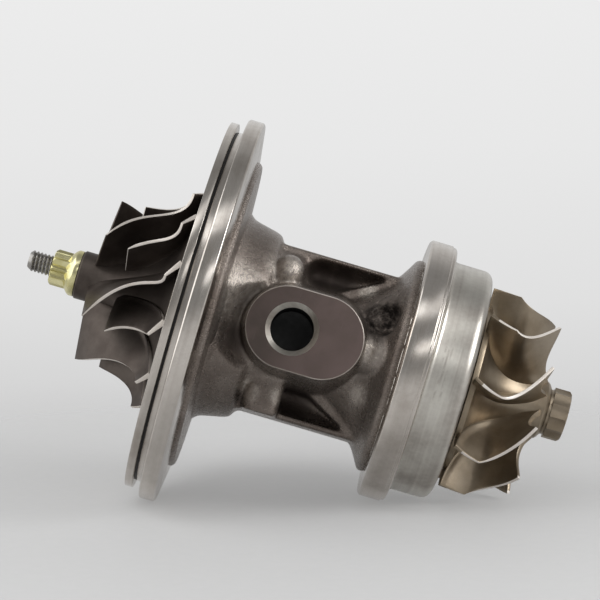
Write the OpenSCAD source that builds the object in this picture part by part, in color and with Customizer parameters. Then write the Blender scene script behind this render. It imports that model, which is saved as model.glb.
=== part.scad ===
// Turbocharger cartridge: a bearing housing that carries a spinning shaft, with a
// compressor wheel at one end and a turbine wheel at the other.
// X runs along the rotor from compressor to turbine, Z is up, the oil feed pad faces -Y.
// The origin is on the rotor axis, in the front face of the backplate.

/* [Shaft] */
// Diameter of the shaft in its journal bushes
journal_d = 11; // [10:0.5:12]
// Diameter of the slim shaft end that carries the compressor wheel
stub_d = 8; // [7.6:0.1:9]
// Outer diameter of the threaded shaft end
thread_d = 7.2; // [6:0.1:7.4]
// Length of thread that stands out of the lock nut
thread_out = 8.3; // [3:0.1:12]
// Diameter of the hub that carries the turbine piston ring
seal_hub_d = 20; // [18:0.5:21]

/* [Compressor wheel] */
// Diameter at the blade exit
comp_d = 78.2; // [70:0.2:84]
// Diameter over the blades at the eye
comp_eye_d = 56.6; // [50:0.2:60]
// Diameter of the plain nose in front of the blades
comp_nose_d = 16.8; // [16.4:0.2:20]
// Length of the plain nose
comp_nose_len = 5.2; // [3:0.1:8]
// Width of the blades at the exit
comp_exit_w = 3.9; // [3:0.1:6]
// Axial length of the blade tips
comp_tip_len = 23.5; // [20:0.5:28]
// Distance by which the blade roots start ahead of the tips
comp_root_lead = 2; // [1:0.1:4]
// Thickness of the disc at the exit
comp_disc_w = 0.8; // [0.6:0.1:2]
// Number of full blades, with one splitter between each two
comp_blades = 6; // [5:1:7]
// Blade thickness at the tip
comp_blade_t = 1.05; // [0.8:0.05:1.4]
// Turn of a blade tip around the axis from eye to exit
comp_tip_wrap = 35; // [20:1:50]
// Turn of a blade root around the axis from eye to exit
comp_root_wrap = 47; // [30:1:60]
// Share of a full blade's length at which a splitter's root starts
splitter_root_at = 0.23; // [0.16:0.01:0.3]
// Share of a full blade's length at which a splitter's tip starts
splitter_tip_at = 0.18; // [0.12:0.01:0.26]

/* [Turbine wheel] */
// Diameter at the blade inlet
turb_d = 71.2; // [66:0.2:74]
// Diameter over the blades at the exit
turb_exit_d = 61.6; // [56:0.2:63]
// Width of the blades at the inlet
turb_inlet_w = 10; // [8:0.2:12]
// Axial length of the blades past the inlet
turb_tip_len = 15; // [12:0.5:18]
// Diameter of the cut-back disc behind the blades
turb_disc_d = 58; // [50:1:64]
// Diameter of the hub at the exit
turb_hub_d = 20; // [18.6:0.2:24]
// Number of blades
turb_blades = 9; // [8:1:11]
// Blade thickness at the tip
turb_blade_t = 1.1; // [0.9:0.05:1.6]
// Turn of a blade around the axis past the inlet
turb_wrap = 29; // [15:1:36]
// Lean of the inlet edge around the axis
turb_lean = 7.5; // [0:0.5:10]
// Share of a blade's length that its exit edge is hollowed
turb_hollow = 0.08; // [0:0.01:0.26]
// Diameter over the points of the drive nose
drive_nose_d = 17.8; // [15:0.2:18.4]
// Length of the drive nose
drive_nose_len = 5.9; // [4:0.1:8]

/* [Lock nut] */
// Diameter over the twelve points
nut_d = 12.6; // [12:0.1:14]
// Height of the twelve-point head
nut_head_h = 5.5; // [4:0.1:7]
// Diameter of the flange
nut_flange_d = 16; // [15:0.1:16.3]
// Height of the flange, with its slope
nut_flange_h = 3.8; // [3:0.1:5]

/* [Backplate] */
// Diameter of the thin front lip
lip_d = 129.4; // [126:0.2:133]
// Width of the lip
lip_w = 2.6; // [2:0.1:4]
// Width of the slit behind the lip
slit_w = 0.9; // [0.8:0.1:1.6]
// Depth of the slit below the land
slit_depth = 2; // [1.6:0.1:3]
// Diameter of the land between slit and rim
land_d = 124; // [122:0.2:125]
// Width of the land
land_w = 2.1; // [1.5:0.1:4]
// Diameter of the clamp rim
rim_d = 134.8; // [134.4:0.2:140]
// Width of the clamp rim's outer face
rim_w = 5.6; // [4:0.1:7]
// Axial length of the slope behind the rim
rim_slope_w = 1.3; // [1:0.1:3]
// Diameter of the back edge of the slope
rim_foot_d = 114; // [112:0.5:118]
// Depth to which the housing disc sits in the backplate
disc_sunk = 2.7; // [2:0.1:3.6]
// Length of the centring spigot inside the housing
spigot_w = 2.8; // [2:0.1:4]
// Radius at which the backplate screws sit
screw_ring_r = 28.2; // [27.8:0.1:28.8]
// Diameter of a backplate screw
screw_d = 5; // [4:0.5:5.5]
// Length of a backplate screw
screw_len = 20; // [17:0.5:21]
// Number of backplate screws
screw_n = 6; // [4:1:7]

/* [Housing] */
// Diameter of the disc behind the backplate
disc_d = 108; // [104:0.5:110]
// Thickness of the disc at its edge
disc_w = 4.4; // [3.4:0.1:6]
// Diameter of the neck next to the disc
neck_d = 69.4; // [68:0.2:72]
// Axial length of the neck
neck_len = 12; // [11:0.2:14]
// Diameter of the body between neck and turbine flange
body_d = 58; // [57:0.2:61]
// Axial length of the body
body_len = 43; // [41:0.5:46]
// Diameter of the waist between the pad and the flare
waist_d = 38; // [36:0.5:42]
// Width of the strips on the outer edges of the upper and lower webs
web_w = 24; // [18:1:30]
// Thickness of those strips
web_strip = 4.6; // [4.2:0.1:6]
// Width of the wall that carries each strip
web_wall = 10; // [8:0.5:14]
// Width of the flat-faced block under the feed pad
block_w = 12.2; // [10:0.2:14]
// Distance of the block's face from the rotor axis
block_out = 23.5; // [22:0.1:25]
// Radius of the cast dish in the cone above the rib
dish_r = 7.6; // [6.6:0.1:8.4]
// Height of the dish above the rotor axis
dish_up = 13.5; // [12:0.1:15]
// Distance of the dish's centre from the rotor axis, toward the pad side
dish_out = 26; // [25.4:0.1:27]
// Axial length of the flare to the turbine flange
flare_len = 5.2; // [4:0.1:7]
// Diameter of the cast disc at the turbine end
tdisc_d = 75; // [72:0.5:80]
// Thickness of that disc
tdisc_w = 2.3; // [1.5:0.1:4]
// Diameter of the turbine flange
flange_d = 90.8; // [86:0.2:96]
// Width of the turbine flange
flange_w = 9.5; // [8:0.1:12]
// Length of the collar that centres the heat shield
collar_len = 5; // [3:0.1:7]

/* [Oil ports] */
// Length of the feed pad
pad_len = 39.8; // [36:0.2:42]
// Height of the feed pad
pad_h = 27.8; // [26:0.2:30]
// Distance of the pad face from the rotor axis
pad_out = 38; // [36.5:0.5:42]
// Distance of the pad centre from the front of the body
pad_at = 14.8; // [13:0.1:16]
// Distance of the feed bore from the pad centre, toward the compressor
feed_shift = 4.3; // [0:0.1:5]
// Diameter of the feed bore
feed_d = 14.4; // [12:0.1:16]
// Depth of the feed bore
feed_depth = 21; // [14:0.5:23]
// Width of the chamfer around the feed bore
feed_chamfer = 1.7; // [0.5:0.1:2.5]
// Radius of the clearance turned around the pad
pad_clear_r = 24.5; // [22.5:0.1:24.9]
// Distance of the drain face from the rotor axis
drain_out = 38; // [36:0.5:42]
// Distance of the drain bore from the front of the body
drain_at = 24.3; // [23:0.1:26]
// Diameter of the drain bore
drain_d = 19; // [16:0.5:21]
// Spacing of the two drain bolt holes
drain_pitch = 36; // [34:0.5:38]
// Diameter of a drain bolt hole
drain_hole_d = 6.8; // [5:0.1:7]

/* [Bearings] */
// Outer diameter of a journal bush
bush_d = 16; // [15:0.2:17]
// Length of a journal bush
bush_len = 11; // [9:0.5:12]
// Thickness of a circlip
circlip_w = 1.3; // [1:0.1:1.6]
// Diameter of the thrust bearing
thrust_d = 44; // [43:0.2:45]
// Thickness of the thrust bearing
thrust_w = 4.5; // [4:0.1:6]
// Diameter of the spool that runs through the thrust bearing
spool_d = 14; // [13:0.2:16]
// Diameter of the thrust faces on the rotor
thrust_face_d = 25; // [22:0.5:26]
// Thickness of the rear thrust face
thrust_face_w = 2; // [1.5:0.1:2.6]
// Diameter of the sealing collar
sealing_d = 19; // [18:0.5:21]

/* [Heat shield] */
// Outer diameter of the cup
cup_d = 80.6; // [76:0.2:84]
// Length of the cup
cup_len = 14.5; // [13.6:0.1:17]
// Thickness of the sheet
cup_t = 1.5; // [1:0.1:2]
// Outer radius of the rounded nose
cup_round = 3.4; // [2.2:0.1:5]
// Diameter of the hole for the shaft
cup_hole_d = 27; // [25:0.5:30]

/* [Clearances] */
// Radial oil film between shaft and bush
journal_gap = 0.03; // [0.02:0.01:0.08]
// Radial oil film between bush and housing
bush_gap = 0.05; // [0.03:0.01:0.09]
// Radial play of parts that slide onto or into each other
slide_gap = 0.03; // [0.01:0.01:0.08]
// Radial gap beside the piston rings
seal_gap = 0.35; // [0.3:0.05:0.6]
// End play on each side of the thrust bearing
thrust_gap = 0.05; // [0.03:0.01:0.1]
// End play of bushes, circlips and piston rings
end_gap = 0.15; // [0.05:0.05:0.3]
// Gap between compressor wheel and backplate
comp_gap = 0.6; // [0.4:0.1:1]
// Gap between turbine wheel and heat shield
turb_gap = 1; // [0.6:0.1:2]

/* [Hidden] */
$fn = 96;
// Radii of the round parts
journal_r = journal_d / 2;
stub_r = stub_d / 2;
thread_r = thread_d / 2;
comp_r = comp_d / 2;
eye_r = comp_eye_d / 2;
nose_r = comp_nose_d / 2;
turb_r = turb_d / 2;
exit_r = turb_exit_d / 2;
hub_r = turb_hub_d / 2;
disc_r = disc_d / 2;
neck_r = neck_d / 2;
body_r = body_d / 2;
waist_r = waist_d / 2;
tdisc_r = tdisc_d / 2;
flange_r = flange_d / 2;
cup_r = cup_d / 2;
bush_r = bush_d / 2;
bore_r = bush_r + bush_gap;
pocket_r = thrust_d / 2 + slide_gap;
seal_hub_r = seal_hub_d / 2;
seal_bore_r = seal_hub_r + seal_gap;
sealing_r = sealing_d / 2;
sealing_bore_r = sealing_r + seal_gap;
spool_r = spool_d / 2;
thrust_face_r = thrust_face_d / 2;
// Stations of the backplate along the rotor, from its front face
slit_x = lip_w;
land_x = slit_x + slit_w;
rim_x = land_x + land_w;
rim_end_x = rim_x + rim_w;
plate_end_x = rim_end_x + rim_slope_w;
seat_x = plate_end_x - disc_sunk;
spigot_end_x = seat_x + spigot_w;
// Stations of the thrust bearing, which rests on the floor of its pocket
deflector_w = 1;
skirt_w = 3;
thrust_x = spigot_end_x + deflector_w + skirt_w;
thrust_end_x = thrust_x + thrust_w;
front_face_w = 2;
shoulder_x = thrust_end_x + thrust_gap + thrust_face_w;
relief_end_x = shoulder_x + 1;
// Stations of the housing casting
disc_end_x = seat_x + disc_w;
neck_x = disc_end_x + 1;
body_x = neck_x + neck_len + 2;
flare_x = body_x + body_len - 3;
tdisc_x = flare_x + flare_len;
flange_x = tdisc_x + tdisc_w;
flange_end_x = flange_x + flange_w;
collar_end_x = flange_end_x + collar_len;
band_end_x = body_x + 9.5;
cone_x = body_x + 23;
// Stations of the bushes, each between two circlips
circlip_slot = circlip_w + end_gap;
bush_a_x = relief_end_x + 1.6 + circlip_slot + end_gap;
bush_b_end_x = flange_x + 1;
bush_b_x = bush_b_end_x - bush_len;
circlip_xs = [
  bush_a_x - end_gap - circlip_slot,
  bush_a_x + bush_len + end_gap,
  bush_b_x - end_gap - circlip_slot,
  bush_b_end_x + end_gap
];
circlip_r = bush_r + 1;
cavity_x = bush_a_x + bush_len + circlip_slot + 3;
cavity_end_x = bush_b_x - circlip_slot - 2;
catch_x = bush_b_end_x + circlip_slot + 2;
catch_end_x = catch_x + 5;
cup_end_x = flange_end_x + cup_len;
hub_end_x = cup_end_x - cup_t - 1.8;
turb_x = cup_end_x + turb_gap;
weld_x = hub_end_x + 1;
// Stations of the wheels and the nut
comp_back_x = -comp_gap;
comp_disc_x = comp_back_x - comp_disc_w;
comp_tip_x = comp_disc_x - comp_exit_w;
comp_eye_x = comp_tip_x - comp_tip_len;
comp_root_x = comp_eye_x - comp_root_lead;
comp_nose_x = comp_root_x - comp_nose_len;
nut_x = comp_nose_x - nut_flange_h - nut_head_h;
shaft_end_x = nut_x - thread_out;
turb_inlet_x = turb_x + turb_inlet_w;
turb_tip_x = turb_inlet_x + turb_tip_len;
turb_hub_x = turb_tip_x + 2;
drive_x = turb_hub_x + 3.3;
drive_end_x = drive_x + drive_nose_len;
// Screws and oil grooves of the thrust bearing
thrust_screw_at = thrust_d / 2 - 4;
thrust_screw_grip = 5;
groove_turn = 30;
// Piston ring grooves on the rotor
ring_w = 1.6;
groove_w = ring_w + 2 * end_gap;
groove_depth = 1.8;
comp_groove_x = rim_x - 1;
turb_groove_x = catch_end_x + 3.4;
// Pad and drain positions
pad_x = body_x + pad_at;
feed_x = pad_x - feed_shift;
feed_r = feed_d / 2;
feed_drop = pad_out - feed_depth - bore_r + 1;
drain_x = body_x + drain_at;
block_round = 2.5;
gallery_r = 3.4;
gallery_wall = 2.2;
// Phase of the wheels at rest, as turns about the rotor axis
comp_phase = -58.5;
turb_phase = -86;
// First screw angle: the gap between two screws faces the feed pad
screw_turn = 90 - 180 / screw_n;

// Lays a shape that was built along Z onto the rotor axis
module on_rotor() {
  rotate([0, 90, 0])
    children();
}

// Turned part from an outline of radius and station pairs
module turned(outline) {
  on_rotor()
    rotate_extrude()
      polygon(outline);
}

// Round bar or bore on the rotor axis between two stations
module bar(r, x0, x1) {
  translate([x0, 0, 0])
    on_rotor()
      cylinder(r = r, h = x1 - x0);
}

// Plain ring on the rotor axis
module ring(r_out, r_in, x0, x1) {
  difference() {
    bar(r_out, x0, x1);
    bar(r_in, x0 - 1, x1 + 1);
  }
}

// Copies a shape around the rotor axis
module around(n, first = 0) {
  for (i = [0:n - 1])
    rotate([first + 360 * i / n, 0, 0])
      children();
}

// Bar that points along -Y, from one depth to another
module bar_front(x, z, r, y0, y1) {
  translate([x, -y0, z])
    rotate([90, 0, 0])
      cylinder(r = r, h = y1 - y0);
}

// Points on an arc with a given centre in the outline plane
function arc(c, r, a0, a1, n = 6) =
  [for (i = [0:n]) c + r * [cos(a0 + (a1 - a0) * i / n), sin(a0 + (a1 - a0) * i / n)]];

function mix(a, b, t) = a + (b - a) * t;

// Closed grid of triangles over a thin blade: nt steps along it and ns steps up it
function grid(side, i, j, nt, ns) = side * (nt + 1) * (ns + 1) + i * (ns + 1) + j;

function blade_faces(nt, ns) = concat(
  [for (i = [0:nt - 1]) for (j = [0:ns - 1]) for (k = [0, 1])
    k == 0
      ? [grid(0, i, j, nt, ns), grid(0, i + 1, j + 1, nt, ns), grid(0, i + 1, j, nt, ns)]
      : [grid(0, i, j, nt, ns), grid(0, i, j + 1, nt, ns), grid(0, i + 1, j + 1, nt, ns)]],
  [for (i = [0:nt - 1]) for (j = [0:ns - 1]) for (k = [0, 1])
    k == 0
      ? [grid(1, i, j, nt, ns), grid(1, i + 1, j, nt, ns), grid(1, i + 1, j + 1, nt, ns)]
      : [grid(1, i, j, nt, ns), grid(1, i + 1, j + 1, nt, ns), grid(1, i, j + 1, nt, ns)]],
  [for (i = [0:nt - 1]) for (k = [0, 1])
    k == 0
      ? [grid(0, i, 0, nt, ns), grid(0, i + 1, 0, nt, ns), grid(1, i + 1, 0, nt, ns)]
      : [grid(0, i, 0, nt, ns), grid(1, i + 1, 0, nt, ns), grid(1, i, 0, nt, ns)]],
  [for (i = [0:nt - 1]) for (k = [0, 1])
    k == 0
      ? [grid(0, i + 1, ns, nt, ns), grid(0, i, ns, nt, ns), grid(1, i, ns, nt, ns)]
      : [grid(0, i + 1, ns, nt, ns), grid(1, i, ns, nt, ns), grid(1, i + 1, ns, nt, ns)]],
  [for (j = [0:ns - 1]) for (k = [0, 1])
    k == 0
      ? [grid(0, 0, j + 1, nt, ns), grid(0, 0, j, nt, ns), grid(1, 0, j, nt, ns)]
      : [grid(0, 0, j + 1, nt, ns), grid(1, 0, j, nt, ns), grid(1, 0, j + 1, nt, ns)]],
  [for (j = [0:ns - 1]) for (k = [0, 1])
    k == 0
      ? [grid(0, nt, j, nt, ns), grid(0, nt, j + 1, nt, ns), grid(1, nt, j + 1, nt, ns)]
      : [grid(0, nt, j, nt, ns), grid(1, nt, j + 1, nt, ns), grid(1, nt, j, nt, ns)]]
);

// Quarter of a rounded square curve: it leaves along the axis and ends outward
function flow_out(x0, r0, x1, r1, n, t) =
  [mix(x0, x1, pow(sin(90 * t), 2 / n)), mix(r1, r0, pow(cos(90 * t), 2 / n))];

// The same curve from the rim inward: it leaves inward and ends along the axis
function flow_in(x0, r0, x1, r1, n, t) =
  [mix(x1, x0, pow(cos(90 * t), 2 / n)), mix(r0, r1, pow(sin(90 * t), 2 / n))];

function polar(x, r, a) = [r * cos(a), r * sin(a), x];
function unit(v) = v / norm(v);

// Compressor wheel: contours of hub and shroud, and the blade surface between them
function comp_hub(t) = flow_out(comp_root_x, nose_r, comp_disc_x, comp_r, 2, t);
function comp_shroud(t) = flow_out(comp_eye_x, eye_r, comp_tip_x, comp_r, 2.5, t);
function comp_turn(wrap, n, t) = wrap * (1 - pow(1 - pow(sin(90 * t), 2 / n), 2.6));
function comp_sweep(t) = 4 * pow(1 - pow(cos(90 * t), 0.8), 2);
function comp_at(t, s) =
  let (m = mix(comp_hub(t), comp_shroud(t), s))
  let (a = mix(comp_turn(comp_root_wrap, 2, t), comp_turn(comp_tip_wrap, 2.5, t) + comp_sweep(t), s))
  polar(m[0], min(m[1], comp_r), -a);
function comp_normal(t, s) =
  let (t0 = max(t - 0.01, 0.001))
  let (t1 = min(t + 0.01, 0.999))
  unit(cross(comp_at(t1, s) - comp_at(t0, s), comp_at(t, s + 0.02) - comp_at(t, s - 0.02)));
function comp_half(t, s) = comp_blade_t * mix(0.95, 0.5, max(s, 0)) * (t < 0.02 ? 0.7 : 1);

// A blade from where it starts at the root and at the tip, given as shares of its length
module comp_blade(root_start, tip_start, nt, ns) {
  points = [for (side = [1, -1]) for (i = [0:nt]) for (j = [0:ns])
    let (s = mix(-0.06, 1, j / ns))
    let (t0 = mix(root_start, tip_start, max(s, 0)))
    let (t = mix(t0, 1, i / nt))
    comp_at(t, s) + side * comp_half(t, s) * comp_normal(t, s)];
  polyhedron(points = points, faces = blade_faces(nt, ns), convexity = 4);
}

// Turbine wheel: the same for its blades, which follow radial lines
function turb_root(t) = flow_in(turb_x + 1.2, turb_r, turb_hub_x, hub_r, 2.2, t);
function turb_shroud(t) =
  [turb_inlet_x + turb_tip_len * t, exit_r + (turb_r - exit_r) * pow(1 - t, 2.6)];
function turb_turn(x) =
  turb_wrap * pow(max(x - turb_inlet_x, 0) / turb_tip_len, 1.9)
  + turb_lean * pow(max(1 - (x - turb_x) / (turb_inlet_w + 5), 0), 2);
function turb_at(t, s) =
  let (m = mix(turb_root(t), turb_shroud(t), s))
  polar(m[0], m[1], -turb_turn(m[0]));
function turb_normal(t, s) =
  let (t0 = max(t - 0.01, 0.001))
  let (t1 = min(t + 0.01, 0.999))
  unit(cross(turb_at(t1, s) - turb_at(t0, s), turb_at(t, s + 0.02) - turb_at(t, s - 0.02)));
function turb_half(t, s) = turb_blade_t * mix(0.9, 0.5, max(s, 0));

module turb_blade(nt, ns) {
  points = [for (side = [1, -1]) for (i = [0:nt]) for (j = [0:ns])
    let (s = mix(-0.07, 1, j / ns))
    let (t = i / nt * (1 - turb_hollow * sin(180 * max(s, 0))))
    turb_at(t, s) + side * turb_half(t, s) * turb_normal(t, s)];
  polyhedron(points = points, faces = blade_faces(nt, ns), convexity = 4);
}

// Twelve-point outline: two hexagons half a step apart
module twelve_point(d) {
  union() {
    circle(d = d, $fn = 6);
    rotate(30)
      circle(d = d, $fn = 6);
  }
}

// Stadium with its long side along X
module stadium(len, h) {
  union() {
    square([len - h, h], center = true);
    translate([(len - h) / 2, 0])
      circle(d = h);
    translate([(h - len) / 2, 0])
      circle(d = h);
  }
}

// Outer shape of the casting, turned about the rotor axis
module housing_turned() {
  turned(concat(
    [[0, seat_x], [disc_r - 0.5, seat_x], [disc_r, seat_x + 0.5], [disc_r, disc_end_x - 0.8]],
    [[disc_r - 0.8, disc_end_x], [neck_r + 2, neck_x]],
    arc([neck_r + 2, neck_x + 2], 2, 270, 180),
    [[neck_r - 1.6, neck_x + neck_len - 1]],
    arc([neck_r - 4.6, neck_x + neck_len - 1], 3, 0, 90),
    [[body_r, body_x], [body_r, band_end_x - 3]],
    arc([body_r - 3, band_end_x - 3], 3, 0, 90),
    arc([waist_r + 3, band_end_x + 3], 3, 270, 180),
    [[waist_r, cone_x], [body_r - 1, flare_x - 1]],
    arc([body_r + 6, flare_x + flare_len - 7], 7, 180, 90),
    [[tdisc_r, tdisc_x], [tdisc_r, flange_x], [flange_r - 0.8, flange_x], [flange_r, flange_x + 0.8]],
    [[flange_r, flange_end_x - 1.6], [flange_r - 0.5, flange_end_x - 1.3]],
    [[flange_r - 0.5, flange_end_x - 0.5], [flange_r - 1.2, flange_end_x]],
    [[cup_r - cup_t - slide_gap, flange_end_x], [cup_r - cup_t - slide_gap, collar_end_x]],
    [[cup_r - cup_t - 4, collar_end_x], [cup_r - cup_t - 4, flange_end_x - 5]],
    [[seal_hub_r + 9, flange_end_x - 5], [seal_hub_r + 7, hub_end_x], [0, hub_end_x]]
  ));
}

// Upper and lower webs of the body, each a wall with a wider strip along its edge
module housing_webs() {
  for (turn = [0, 180])
    rotate([turn, 0, 0])
      translate([body_x - 2, 0, 0])
        rotate([90, 0, 90])
          linear_extrude(flare_x + 3.5 - body_x)
            union() {
              translate([-web_wall / 2, 0])
                square([web_wall, body_r - 1]);
              translate([-web_w / 2, body_r - web_strip])
                square([web_w, web_strip - 2]);
              translate([2 - web_w / 2, body_r - 3])
                square([web_w - 4, 3]);
              for (edge = [1, -1])
                translate([edge * (web_w / 2 - 2), body_r - 2])
                  circle(r = 2);
            }
}

// Flat-faced block under the feed pad
module housing_block() {
  translate([body_x + 7.4, 0, 1 - body_r])
    linear_extrude(body_r - 8)
      union() {
        translate([block_round - block_w / 2, -block_out])
          square([block_w - 2 * block_round, block_out - 3.5]);
        translate([-block_w / 2, block_round - block_out])
          square([block_w, block_out - block_round - 3.5]);
        for (side = [1, -1])
          translate([side * (block_w / 2 - block_round), block_round - block_out])
            circle(r = block_round);
      }
}

// Feed pad with the rib that runs on to the turbine flange
module feed_pad() {
  translate([pad_x, -8, 0])
    rotate([90, 0, 0])
      linear_extrude(pad_out - 8)
        stadium(pad_len, pad_h);
  translate([0, -waist_r - 7, 0])
    bar(7, pad_x, tdisc_x + 1);
  translate([body_x + 4, -20, 19.5])
    sphere(r = 6.5);
}

// Drain pad on the far side, with a lug for each bolt
module drain_pad() {
  translate([drain_x, 8, 0])
    rotate([-90, 0, 0])
      linear_extrude(drain_out - 8)
        union() {
          circle(r = drain_d / 2 + 5);
          rotate(90)
            stadium(drain_pitch + 17, 17);
        }
}

module bearing_housing() {
  color("dimgray")
    difference() {
      union() {
        difference() {
          union() {
            housing_turned();
            housing_webs();
            housing_block();
          }
          bar_front(feed_x, 0, pad_clear_r, body_r - 0.6, neck_r + 10);
          translate([tdisc_x - 7.2, -dish_out, dish_up])
            sphere(r = dish_r);
        }
        feed_pad();
        drain_pad();
      }
      // Thrust bearing pocket, bearing bore and seal bore
      bar(pocket_r, seat_x - 1, thrust_end_x);
      bar(thrust_face_r + 1.2, thrust_end_x - 1, relief_end_x);
      bar(bore_r, relief_end_x - 1, catch_x + 1);
      for (x = circlip_xs)
        bar(circlip_r + slide_gap, x, x + circlip_slot);
      bar(bore_r + 4.5, cavity_x, cavity_end_x);
      bar(seal_hub_r + 3.5, catch_x, catch_end_x);
      bar(seal_bore_r, catch_end_x - 1, hub_end_x + 1);
      // Oil feed: threaded bore, drillings to the bushes and to the thrust bearing
      bar_front(feed_x, 0, feed_r, pad_out - feed_depth, pad_out + 1);
      translate([feed_x, -pad_out, 0])
        rotate([-90, 0, 0])
          cylinder(r1 = feed_r + feed_chamfer, r2 = feed_r, h = feed_chamfer);
      for (x = [bush_a_x, bush_b_x])
        translate([feed_x, feed_depth - pad_out, 0])
          rotate([0, 0, atan2(feed_drop, x + bush_len / 2 - feed_x)])
            bar(1.7, -1, norm([x + bush_len / 2 - feed_x, feed_drop]));
      // Oil drain: port, gallery from the turbine end and from the thrust pocket, bolt holes
      bar_front(drain_x, 0, drain_d / 2, -drain_out - 1, 2 - bore_r);
      translate([0, bore_r + gallery_wall + gallery_r, 0])
        bar(gallery_r, thrust_end_x - 1, catch_end_x - 1);
      for (side = [1, -1])
        bar_front(drain_x, side * drain_pitch / 2, drain_hole_d / 2, -drain_out - 1, 14 - drain_out);
      // Face groove for the O-ring and holes for the screws
      ring(disc_r - 11, disc_r - 13.6, seat_x - 1, seat_x + 1.9);
      around(screw_n, screw_turn)
        translate([0, 0, screw_ring_r])
          bar(screw_d / 2 + slide_gap, seat_x - 1, screw_len + 1.5);
      around(3, 0)
        translate([0, 0, thrust_screw_at])
          bar(1.5 + slide_gap, thrust_end_x - 1, thrust_end_x + thrust_screw_grip + 0.5);
    }
}

module compressor_backplate() {
  color("silver")
    difference() {
      turned([
        [sealing_bore_r, 0], [lip_d / 2, 0], [lip_d / 2, slit_x],
        [land_d / 2 - slit_depth, slit_x], [land_d / 2 - slit_depth, land_x], [land_d / 2, land_x],
        [land_d / 2, rim_x], [rim_d / 2 - 0.5, rim_x], [rim_d / 2, rim_x + 0.5],
        [rim_d / 2, rim_end_x - 0.5], [rim_d / 2 - 0.6, rim_end_x], [rim_foot_d / 2, plate_end_x],
        [disc_r + slide_gap, plate_end_x], [disc_r + slide_gap, seat_x],
        [pocket_r - 2 * slide_gap, seat_x], [pocket_r - 2 * slide_gap, spigot_end_x],
        [thrust_face_r + 2, spigot_end_x], [sealing_bore_r + 1, seat_x], [sealing_bore_r, seat_x - 1]
      ]);
      around(screw_n, screw_turn)
        translate([0, 0, screw_ring_r])
          turned([
            [0, -1], [screw_d + slide_gap, -1], [screw_d + slide_gap, 0.4],
            [screw_d / 2 + slide_gap, 0.4 + screw_d / 2], [screw_d / 2 + slide_gap, seat_x + 1],
            [0, seat_x + 1]
          ]);
    }
}

// Square seal ring that fills the slit behind the lip
module backplate_seal_ring() {
  color("black")
    ring(land_d / 2 - 0.15, land_d / 2 - slit_depth + slide_gap, slit_x + 0.02, land_x - 0.02);
}

// Countersunk screws, each with a hexagon socket
module backplate_screws() {
  color("gray")
    around(screw_n, screw_turn)
      translate([0, 0, screw_ring_r])
        difference() {
          turned([
            [0, 0.2], [screw_d, 0.2], [screw_d, 0.4], [screw_d / 2, 0.4 + screw_d / 2],
            [screw_d / 2, screw_len - 0.6], [screw_d / 2 - 0.6, screw_len], [0, screw_len]
          ]);
          translate([-1, 0, 0])
            on_rotor()
              cylinder(d = screw_d * 0.68, h = 3, $fn = 6);
        }
}

module housing_o_ring() {
  color("black")
    translate([seat_x + 0.9, 0, 0])
      on_rotor()
        rotate_extrude()
          translate([disc_r - 12.3, 0])
            circle(r = 0.88);
}

// Bronze plate with six pads' worth of oil grooves on each face
module thrust_bearing() {
  color("goldenrod")
    difference() {
      ring(thrust_d / 2, spool_r + seal_gap, thrust_x, thrust_end_x);
      for (x = [thrust_x - 1, thrust_end_x - 0.6])
        around(6, groove_turn)
          translate([x, -0.8, spool_r])
            cube([1.6, 1.6, thrust_face_r - spool_r + 1]);
      around(3, 0)
        translate([0, 0, thrust_screw_at])
          bar(1.5 + slide_gap, thrust_x - 1, thrust_end_x + 1);
    }
}

module thrust_bearing_screws() {
  color("gray")
    around(3, 0)
      translate([0, 0, thrust_screw_at])
        difference() {
          union() {
            bar(1.5, thrust_x, thrust_end_x + thrust_screw_grip);
            bar(2.6, thrust_x - 2, thrust_x);
          }
          translate([thrust_x - 3, 0, 0])
            on_rotor()
              cylinder(d = 2.6, h = 2, $fn = 6);
        }
}

// Pressed cup held between the backplate spigot and the thrust bearing
module oil_deflector() {
  color("lightgray")
    turned([
      [thrust_face_r + 2.6, spigot_end_x], [pocket_r - 2 * slide_gap, spigot_end_x],
      [pocket_r - 2 * slide_gap, thrust_x], [pocket_r - 2 * slide_gap - deflector_w, thrust_x],
      [pocket_r - 2 * slide_gap - deflector_w, spigot_end_x + deflector_w],
      [thrust_face_r + 2.6, spigot_end_x + deflector_w]
    ]);
}

// Open spring rings in the grooves of the bearing bore
module bush_circlips() {
  color("gray")
    for (x = circlip_xs)
      difference() {
        ring(circlip_r, bush_r - 1.3, x + end_gap / 2, x + end_gap / 2 + circlip_w);
        translate([x - 1, -1.5, -circlip_r - 1])
          cube([circlip_w + 3, 3, circlip_r]);
      }
}

// Drawn sheet cup: wall, rounded nose and front plate
module heat_shield() {
  color("gainsboro")
    turned(concat(
      [[cup_r - cup_t, flange_end_x], [cup_r, flange_end_x]],
      arc([cup_r - cup_round, cup_end_x - cup_round], cup_round, 0, 90),
      [[cup_hole_d / 2, cup_end_x], [cup_hole_d / 2, cup_end_x - cup_t]],
      arc([cup_r - cup_round, cup_end_x - cup_round], cup_round - cup_t, 90, 0)
    ));
}

// Split ring that stands still in a bore and reaches into a groove of the rotor
module piston_ring(r_bore, r_rotor, x) {
  difference() {
    ring(r_bore - 0.01, r_rotor - groove_depth + 0.45, x + end_gap, x + end_gap + ring_w);
    translate([x - 1, -0.25, 0])
      cube([ring_w + 3, 0.5, r_bore + 1]);
  }
}

module compressor_piston_ring() {
  color("gray")
    piston_ring(sealing_bore_r, sealing_r, comp_groove_x);
}

module turbine_piston_ring() {
  color("gray")
    piston_ring(seal_bore_r, seal_hub_r, turb_groove_x);
}

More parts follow.
